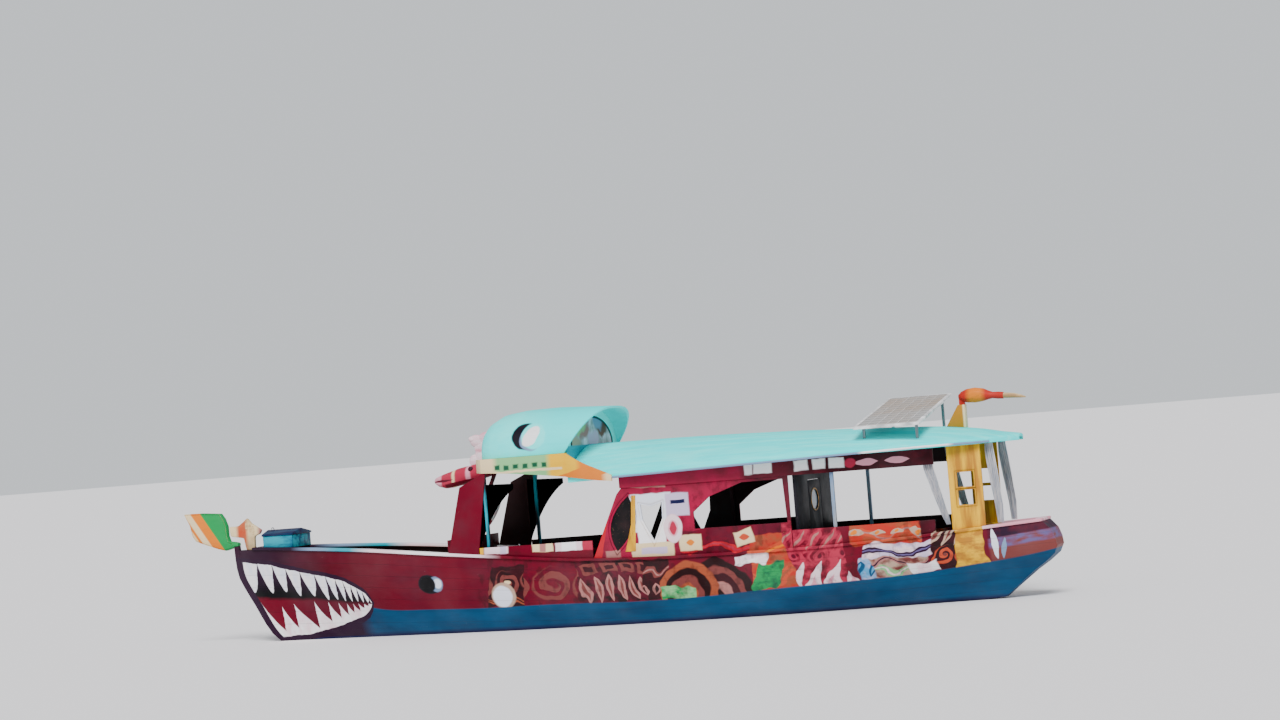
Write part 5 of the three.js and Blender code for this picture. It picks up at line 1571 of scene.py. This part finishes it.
    def crest(self) -> None:
        """Lobed crest over the brow and the two eyes."""
        bm = bmesh.new()
        for x, z, wide, tall, lean in self.lobes:
            ball(bm, seat((x, 0, z), lean, scale=(wide, self.lobe_thick, tall)), 12)
        place_piece(bm, "brow_crest", Paint("crest_paint", Tint.PINK_WHITE, Tint.PINK))
        bm = bmesh.new()
        ball(bm, seat(self.eye_place, scale=self.eye_half), 10)
        mirror_over(bm)
        place_piece(bm, "brow_eyes", Paint("eye_dark", Tint.SHADOW, Tint.CRIMSON, rough=0.3))


@dataclass
class Helm:
    """Dash, wheel, seat and the lifebuoy in the open windscreen."""

    wheel: Place = (1.39, 0.0, 1.02)
    rim: Point = (0.215, 0.0155)
    hub: tuple[Point, ...] = ((0, -0.02), (0.024, -0.018), (0.037, -0.005), (0.037, 0.1), (0, 0.1))
    shaft: tuple[Point, ...] = ((0, 0.0), (0.0175, 0.0), (0.0175, 0.168), (0, 0.168))
    spoke: tuple[Point, ...] = ((0, 0.03), (0.012, 0.032), (0.009, 0.06), (0.014, 0.1), (0.009, 0.15), (0.011, 0.2),
                                (0.008, 0.216), (0, 0.217))
    spokes: int = 6
    ring: Point = (0.315, 0.059)
    ring_lean: float = 0.4454
    band_lift: float = 0.0015
    band_turn: float = 24.0
    dial: tuple[Point, ...] = ((0, 0), (0.05, 0), (0.05, 0.012), (0.042, 0.016), (0, 0.016))
    dial_place: Place = (1.501, 0.18, 1.09)
    lever: tuple[Place, ...] = ((1.6, 0.25, 1.147), (1.59, 0.25, 1.2), (1.57, 0.25, 1.27))
    lever_radii: Place = (0.01, 0.008, 0.007)
    knob: tuple[Point, ...] = ((0, -0.02), (0.015, -0.014), (0.02, 0), (0.015, 0.014), (0, 0.02))
    knob_place: Place = (1.57, 0.25, 1.275)

    def build(self) -> None:
        """Build the helm's pieces."""
        reskin("cab_front", Paint("dash_paint", Tint.CRIMSON, Tint.MAROON), 0.006)
        reskin("helm_console", Timber("console_wood", Tint.WOOD, Tint.DARK_WOOD, 0.16), 0.008)
        reskin("helm_seat", Timber("seat_wood", Tint.WOOD, Tint.DARK_WOOD, 0.11), 0.008)
        self.buoy()
        self.wheel_piece()
        self.dials()

    def buoy(self) -> None:
        """Lifebuoy with four bands round its ring."""
        middle = [(a + b) / 2 for a, b in zip(*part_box("lifebuoy"))]
        matrix = seat(middle, 90 - math.degrees(self.ring_lean))
        radius, tube = self.ring
        bm = bmesh.new()
        turned(bm, oval((radius, 0), (tube, tube), 16), matrix, 48)
        place_piece(bm, "lifebuoy_ring", Smooth("buoy_white", Tint.WHITE, Tint.PINK, 0.45), stands_for=("lifebuoy",))
        bm = bmesh.new()
        tube += self.band_lift
        for degrees in (45, 135, 225, 315):
            turn = matrix @ seat((0, 0, 0), degrees, "Z")
            turned(bm, oval((radius, 0), (tube, tube), 16), turn, 6, self.band_turn)
        place_piece(bm, "lifebuoy_bands", Smooth("buoy_pink", Tint.ROSE, Tint.PINK, 0.5))

    def wheel_piece(self) -> None:
        """Spoked wooden wheel with turned spokes on its shaft."""
        bm = bmesh.new()
        face = seat(self.wheel, 90)
        turned(bm, oval((self.rim[0], 0), (self.rim[1], self.rim[1]), 10), face, 48)
        turned(bm, self.hub, face, 20)
        turned(bm, self.shaft, face, 20)
        for i in range(self.spokes):
            turned(bm, self.spoke, seat(self.wheel, 360 * i / self.spokes, "X"), 12)
        varnish = Timber("varnish", Tint.RUST, Tint.DARK_WOOD, 0.5, rough=0.3)
        place_piece(bm, "steering_wheel_turned", varnish, "wheel", ("steering_wheel",))

    def dials(self) -> None:
        """Two blank dials and a lever on the console's face."""
        bm = bmesh.new()
        turned(bm, self.dial, seat(self.dial_place, -90))
        mirror_over(bm)
        swept(bm, self.lever, self.lever_radii, 10)
        turned(bm, self.knob, seat(self.knob_place), 16)
        place_piece(bm, "helm_fittings", Metal("fittings_steel", Tint.STEEL, Tint.GREY, 0.3))


@dataclass
class Cabin:
    """Benches, the bulkhead with its door, and the engine under its box."""

    pane_place: Place = (-3.132, 0, 1.65)
    pane: tuple[Point, ...] = ((0, -0.003), (0.1485, -0.003), (0.1485, 0.003), (0, 0.003))
    faces: Point = (-3.149, -3.1155)
    rim: Point = (0.165, 0.014)
    rim_thick: float = 0.004
    tall: float = 1.2

    def build(self) -> None:
        """Build the cabin's pieces."""
        reskin_all(Timber("bench_wood", Tint.WOOD, Tint.DARK_WOOD, 0.1), 0.006, "bench_")
        dark = Paint("bulkhead_paint", Tint.SHADOW, Tint.BLACK, rough=0.5, grain=(3, 3, 0.35))
        reskin("cabin_bulkhead", dark, 0.004)
        reskin("cabin_door", dark, 0.003)
        reskin_all(Timber("engine_box_wood", Tint.OAK, Tint.DARK_WOOD, 0.14), 0.006, "engine_box", "engine_lid")
        reskin("engine", Metal("engine_paint", Tint.SLATE_BLUE, Tint.STEEL, 0.5, 0.4), 0.02)
        self.light()

    def light(self) -> None:
        """Pale pane in the door's oval opening, with its rims."""
        oval_scale = (1, self.tall, 1)
        bm = bmesh.new()
        turned(bm, self.pane, seat(self.pane_place, 90) @ seat((0, 0, 0), scale=oval_scale), 32)
        place_piece(bm, "door_pane", Smooth("pane", Tint.GREY, Tint.SLATE_BLUE, 0.12), "door")
        bm = bmesh.new()
        for x in self.faces:
            spot = seat((x, *self.pane_place[1:]), 90, scale=oval_scale)
            turned(bm, oval((self.rim[0], 0), (self.rim[1], self.rim_thick), 10), spot, 36)
        place_piece(bm, "door_rims", Metal("rim_bronze", Tint.BRONZE, Tint.BROWN, 0.35), "door")


@dataclass
class RoofGear:
    """Solar panel on its stand, and the mast board with its carved bird."""

    columns: int = 6
    rows: int = 12
    half: float = 1.12
    rise: float = 0.39
    foot: float = 2.64
    thick: float = 0.0405
    margin: float = 0.045
    # Distance forward, height and radius of the bird's and its beak's sections.
    body: tuple[Place, ...] = ((-5.472, 2.99, 0.04), (-5.52, 2.995, 0.08), (-5.6, 3.003, 0.11), (-5.72, 3.005, 0.122),
                               (-5.84, 3.0, 0.104), (-5.92, 2.99, 0.07), (-5.98, 2.984, 0.052), (-6.06, 2.976, 0.058),
                               (-6.14, 2.968, 0.055))
    beak: tuple[Place, ...] = ((-6.12, 2.97, 0.05), (-6.2, 2.964, 0.052), (-6.3, 2.954, 0.045), (-6.4, 2.935, 0.03),
                               (-6.468, 2.92, 0.01))
    peg: tuple[Place, Place] = ((-5.555, -0.04, 2.8803), (-5.475, 0.04, 2.96))
    wing: Place = (0.16, 0.022, 0.06)
    wing_place: Place = (-5.68, 0.1, 3.01)

    def build(self) -> None:
        """Build what stands on the roof."""
        reskin("solar_stand", Metal("stand_steel", Tint.STEEL, Tint.GREY, 0.45, 0.6), 0.004)
        reskin("solar_panel", Smooth("panel_frame", Tint.WHITE, Tint.GREY, 0.35), 0.004)
        self.cells()
        reskin("roof_mast", Ornament("mast_paint", ((-9, Tint.CREAM), (-5.53, Tint.OCHRE))), 0.008)
        self.bird()

    def cells(self) -> None:
        """Pale cells in rows on the panel's face."""
        low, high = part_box("solar_panel")
        slant = self.rise / (2 * self.half)
        turn = Matrix.Rotation(-math.atan(slant), 4, "X")
        wide = (high[0] - low[0] - 2 * self.margin) / self.columns
        long = 2 * (self.half - self.margin) / self.rows
        half = Vector((wide * 0.475, long * 0.475, 0.0015))
        bm = bmesh.new()
        for i in range(self.columns * self.rows):
            column, row = divmod(i, self.rows)
            x = low[0] + self.margin + wide * (column + 0.5)
            y = -self.half + self.margin + long * (row + 0.5)
            spot = Vector((x, y, self.foot + (self.half - y) * slant + self.thick))
            slab(bm, spot - half, spot + half, 0.001, turn)
        place_piece(bm, "solar_cells", Smooth("cell_face", Tint.CELL, Tint.OAK, 0.15, 0.7))

    def bird(self) -> None:
        """Carved bird with folded wings, a long beak and a peg in the mast."""
        bm = bmesh.new()
        ball(bm, seat(self.wing_place, 6, scale=self.wing), 10, 14)
        mirror_over(bm)
        swept_rows(bm, self.body, 18, 0.92)
        slab(bm, *self.peg, 0.004)
        orange = Ornament("finial_paint", ((-9, Tint.SCARLET), (-5.85, Tint.ORANGE), (-5.62, Tint.SCARLET)), soft=0.04)
        place_piece(bm, "finial_bird_carved", orange, stands_for=("finial_bird",))
        bm = bmesh.new()
        swept_rows(bm, self.beak, 14, 0.8)
        place_piece(bm, "finial_beak", Paint("beak_tan", Tint.OAK, Tint.CREAM))


@dataclass
class Stern:
    """Rudder and propeller."""

    hub: Place = (-5.0, 0.0, -0.285)
    cone: tuple[Point, ...] = ((0, -0.049), (0.018, -0.045), (0.033, -0.02), (0.0335, 0.03), (0.026, 0.049), (0, 0.049))
    shaft: tuple[Point, ...] = ((0, 0.0), (0.0195, 0.0), (0.0195, 0.419), (0, 0.419))
    blades: int = 3
    root: float = 0.028
    blade_long: float = 0.132
    blade_wide: float = 0.052
    blade_thick: float = 0.006
    # Angle of a blade at its root, and by how much it drops to the tip, in degrees.
    pitch: Point = (62.0, 36.0)

    def build(self) -> None:
        """Build the steering and driving pieces."""
        reskin("rudder", Paint("rudder_paint", Tint.DEEP_TEAL, Tint.NAVY, rough=0.55), 0.006)
        self.propeller()

    def propeller(self) -> None:
        """Three twisted blades on a coned hub, with the shaft."""
        bm = bmesh.new()
        axis = seat(self.hub, 90)
        turned(bm, self.cone, axis)
        turned(bm, self.shaft, axis)
        for i in range(self.blades):
            part = bmesh.new()
            bmesh.ops.create_grid(part, x_segments=8, y_segments=10, size=0.5)
            for vert in part.verts:
                u, v = vert.co.x * 2, vert.co.y + 0.5
                wide = u * self.blade_wide * math.sin(math.pi * min(0.97, 0.2 + 0.75 * v)) ** 0.6
                pitch = math.radians(self.pitch[0] - self.pitch[1] * v)
                vert.co = (wide * math.sin(pitch), wide * math.cos(pitch), self.root + v * self.blade_long)
            bmesh.ops.solidify(part, geom=part.faces[:], thickness=self.blade_thick)
            bmesh.ops.recalc_face_normals(part, faces=part.faces)
            merge_into(bm, part, seat(self.hub, 360 * i / self.blades, "X"))
        bronze = Metal("propeller_bronze", Tint.BRONZE, Tint.BROWN, 0.35)
        place_piece(bm, "propeller_cast", bronze, "propeller_body", ("propeller",))


@dataclass
class Nets:
    """White nets gathered into bunches between the roof and the rail."""

    folds: int = 5
    columns: int = 90
    rows: int = 48
    fill: float = 0.97
    clear: float = 0.012
    thread: float = 0.0016
    fullness: float = 1.3

    def build(self) -> None:
        """Hang the four nets."""
        twine = Net("net_twine_white")
        for node in ("net_fore_port", "net_fore_starboard", "net_aft_port", "net_aft_starboard"):
            self.hang(node, twine)

    def sections(self, node: str) -> list[tuple[float, Vector, Vector]]:
        """Sections of a CAD bunch.

        Args:
            node: The CAD node of the bunch.

        Returns:
            Height, middle and half size of each, from foot to head.
        """
        levels: dict[float, list[Vector]] = {}
        for vert in frame["nodes"][node].data.vertices:
            levels.setdefault(round(vert.co.z, 3), []).append(vert.co)
        found = []
        for level, spots in sorted(levels.items()):
            if len(spots) < 6:
                continue
            low, high = (Vector((end(s.x for s in spots), end(s.y for s in spots), 0)) for end in (min, max))
            found.append((level, (low + high) / 2, (high - low) / 2))
        return found

    def at(self, sections: Sequence[tuple[float, Vector, Vector]], z: float) -> tuple[Vector, Vector]:
        """Section of the bunch at a height.

        Args:
            sections: What `sections` found.
            z: The height.

        Returns:
            Middle and half size.
        """
        for (z0, m0, h0), (z1, m1, h1) in zip(sections, sections[1:]):
            if z <= z1:
                share = (z - z0) / (z1 - z0)
                return m0.lerp(m1, share), h0.lerp(h1, share)
        return sections[-1][1], sections[-1][2]

    def hang(self, node: str, finish: Net) -> None:
        """Gather one net in the space of its CAD bunch.

        Args:
            node: The CAD node of the bunch.
            finish: The netting.
        """
        sections = self.sections(node)
        foot, head = sections[0][0] + self.clear, sections[-1][0] - self.clear
        drop = head - foot
        bm = bmesh.new()
        bmesh.ops.create_grid(bm, x_segments=self.columns, y_segments=self.rows, size=0.5)
        for vert in bm.verts:
            s, t = vert.co.x + 0.5, vert.co.y + 0.5
            z = foot + drop * t
            middle, half = self.at(sections, z)
            # Folds that wander, deepen and sway from head to foot.
            phase = 0.5 * math.sin(3.1 * t + 1.0) + 0.25 * math.sin(9.0 * t)
            swing = math.sin(2 * math.pi * self.folds * s + phase)
            deep = 0.82 + 0.18 * math.sin(17.0 * s + 2.0 * t)
            sway = 0.06 * math.sin(5.0 * t + 4.0 * s)
            x = middle.x + half.x * self.fill * (0.94 * (2 * s - 1) + sway)
            room = math.sqrt(max(0.05, 1.0 - ((x - middle.x) / max(half.x, 1e-6)) ** 2))
            vert.co = (x, middle.y + half.y * self.fill * room * deep * swing, z)
        area = sum(face.calc_area() for face in bm.faces)
        bmesh.ops.solidify(bm, geom=bm.faces[:], thickness=self.thread)
        bmesh.ops.recalc_face_normals(bm, faces=bm.faces)
        piece = place_piece(bm, f"{node}_gathered", finish, BODY_OF[node], (node,), crease=80.0)


@dataclass
class Studio:
    """Camera at the photograph's place, soft light and a pale floor at the waterline."""

    heading: float = 19.0
    pitch: float = 1.51
    roll: float = 4.65
    place: Place = (-14.938, 41.766, 2.8)
    focal_px: float = 2883.0
    frame_px: float = 1280.0
    sensor: float = 36.0
    sky_colour: tuple[float, float, float, float] = (0.86, 0.9, 0.94, 1)
    sky: float = 0.55
    backdrop: float = 0.9
    sun: float = 3.8
    sun_width: float = 25.0
    sun_turn: Point = (-42.0, -14.0)
    floor_half: float = 900.0

    def build(self) -> None:
        """Set up the view, the lights and the floor."""
        self.camera()
        self.lights()
        self.floor()

    def camera(self) -> None:
        """Camera with the photograph's framing."""
        b, p, r = (math.radians(a) for a in (self.heading, self.pitch, self.roll))
        ahead = Vector((math.sin(b) * math.cos(p), -math.cos(b) * math.cos(p), math.sin(p)))
        right = Vector((-math.cos(b), -math.sin(b), 0))
        up = right.cross(ahead)
        across = right * math.cos(r) - up * math.sin(r)
        upward = right * math.sin(r) + up * math.cos(r)
        data = bpy.data.cameras.new("view")
        data.sensor_width = self.sensor
        data.lens = self.focal_px / self.frame_px * self.sensor
        data.clip_end = 3000.0
        camera = bpy.data.objects.new("view", data)
        turn = Matrix((across, upward, -ahead)).transposed().to_4x4()
        camera.matrix_world = Matrix.Translation(self.place) @ turn
        bpy.context.scene.collection.objects.link(camera)
        bpy.context.scene.camera = camera

    def lights(self) -> None:
        """Even sky light, brighter where the camera sees it, with one broad, soft source from the camera's side."""
        world = bpy.data.worlds.new("studio")
        bpy.context.scene.world = world
        world.use_nodes = True
        tree = world.node_tree
        sky = tree.nodes["Background"]
        sky.inputs[0].default_value = self.sky_colour
        seen = tree.nodes.new("ShaderNodeLightPath").outputs["Is Camera Ray"]
        level = tree.nodes.new("ShaderNodeMapRange")
        level.inputs["To Min"].default_value = self.sky
        level.inputs["To Max"].default_value = self.backdrop
        tree.links.new(seen, level.inputs["Value"])
        tree.links.new(level.outputs[0], sky.inputs[1])
        data = bpy.data.lights.new("key", "SUN")
        data.energy = self.sun
        data.angle = math.radians(self.sun_width)
        key = bpy.data.objects.new("key", data)
        key.rotation_euler = (*map(math.radians, self.sun_turn), 0)
        bpy.context.scene.collection.objects.link(key)

    def floor(self) -> None:
        """Pale floor at the waterline."""
        bm = bmesh.new()
        bmesh.ops.create_grid(bm, x_segments=2, y_segments=2, size=self.floor_half)
        mesh = bpy.data.meshes.new("floor")
        bm.to_mesh(mesh)
        bm.free()
        floor = bpy.data.objects.new("floor", mesh)
        bpy.context.scene.collection.objects.link(floor)
        mesh.materials.append(made(Smooth("floor_pale", Tint.WHITE, Tint.WHITE, 0.8, 0.05)))


def main() -> None:
    """Build the boat, sub-assembly by sub-assembly."""
    logging.basicConfig(level=logging.INFO, format="%(name)s: %(message)s")
    for part in (Studio(), Hull(), Bow(), HouseSides(), Roof(), Helm(), Cabin(), RoofGear(), Stern(), Nets()):
        LOG.info("building %s", type(part).__name__)
        part.build()


if __name__ == "__main__":
    main()
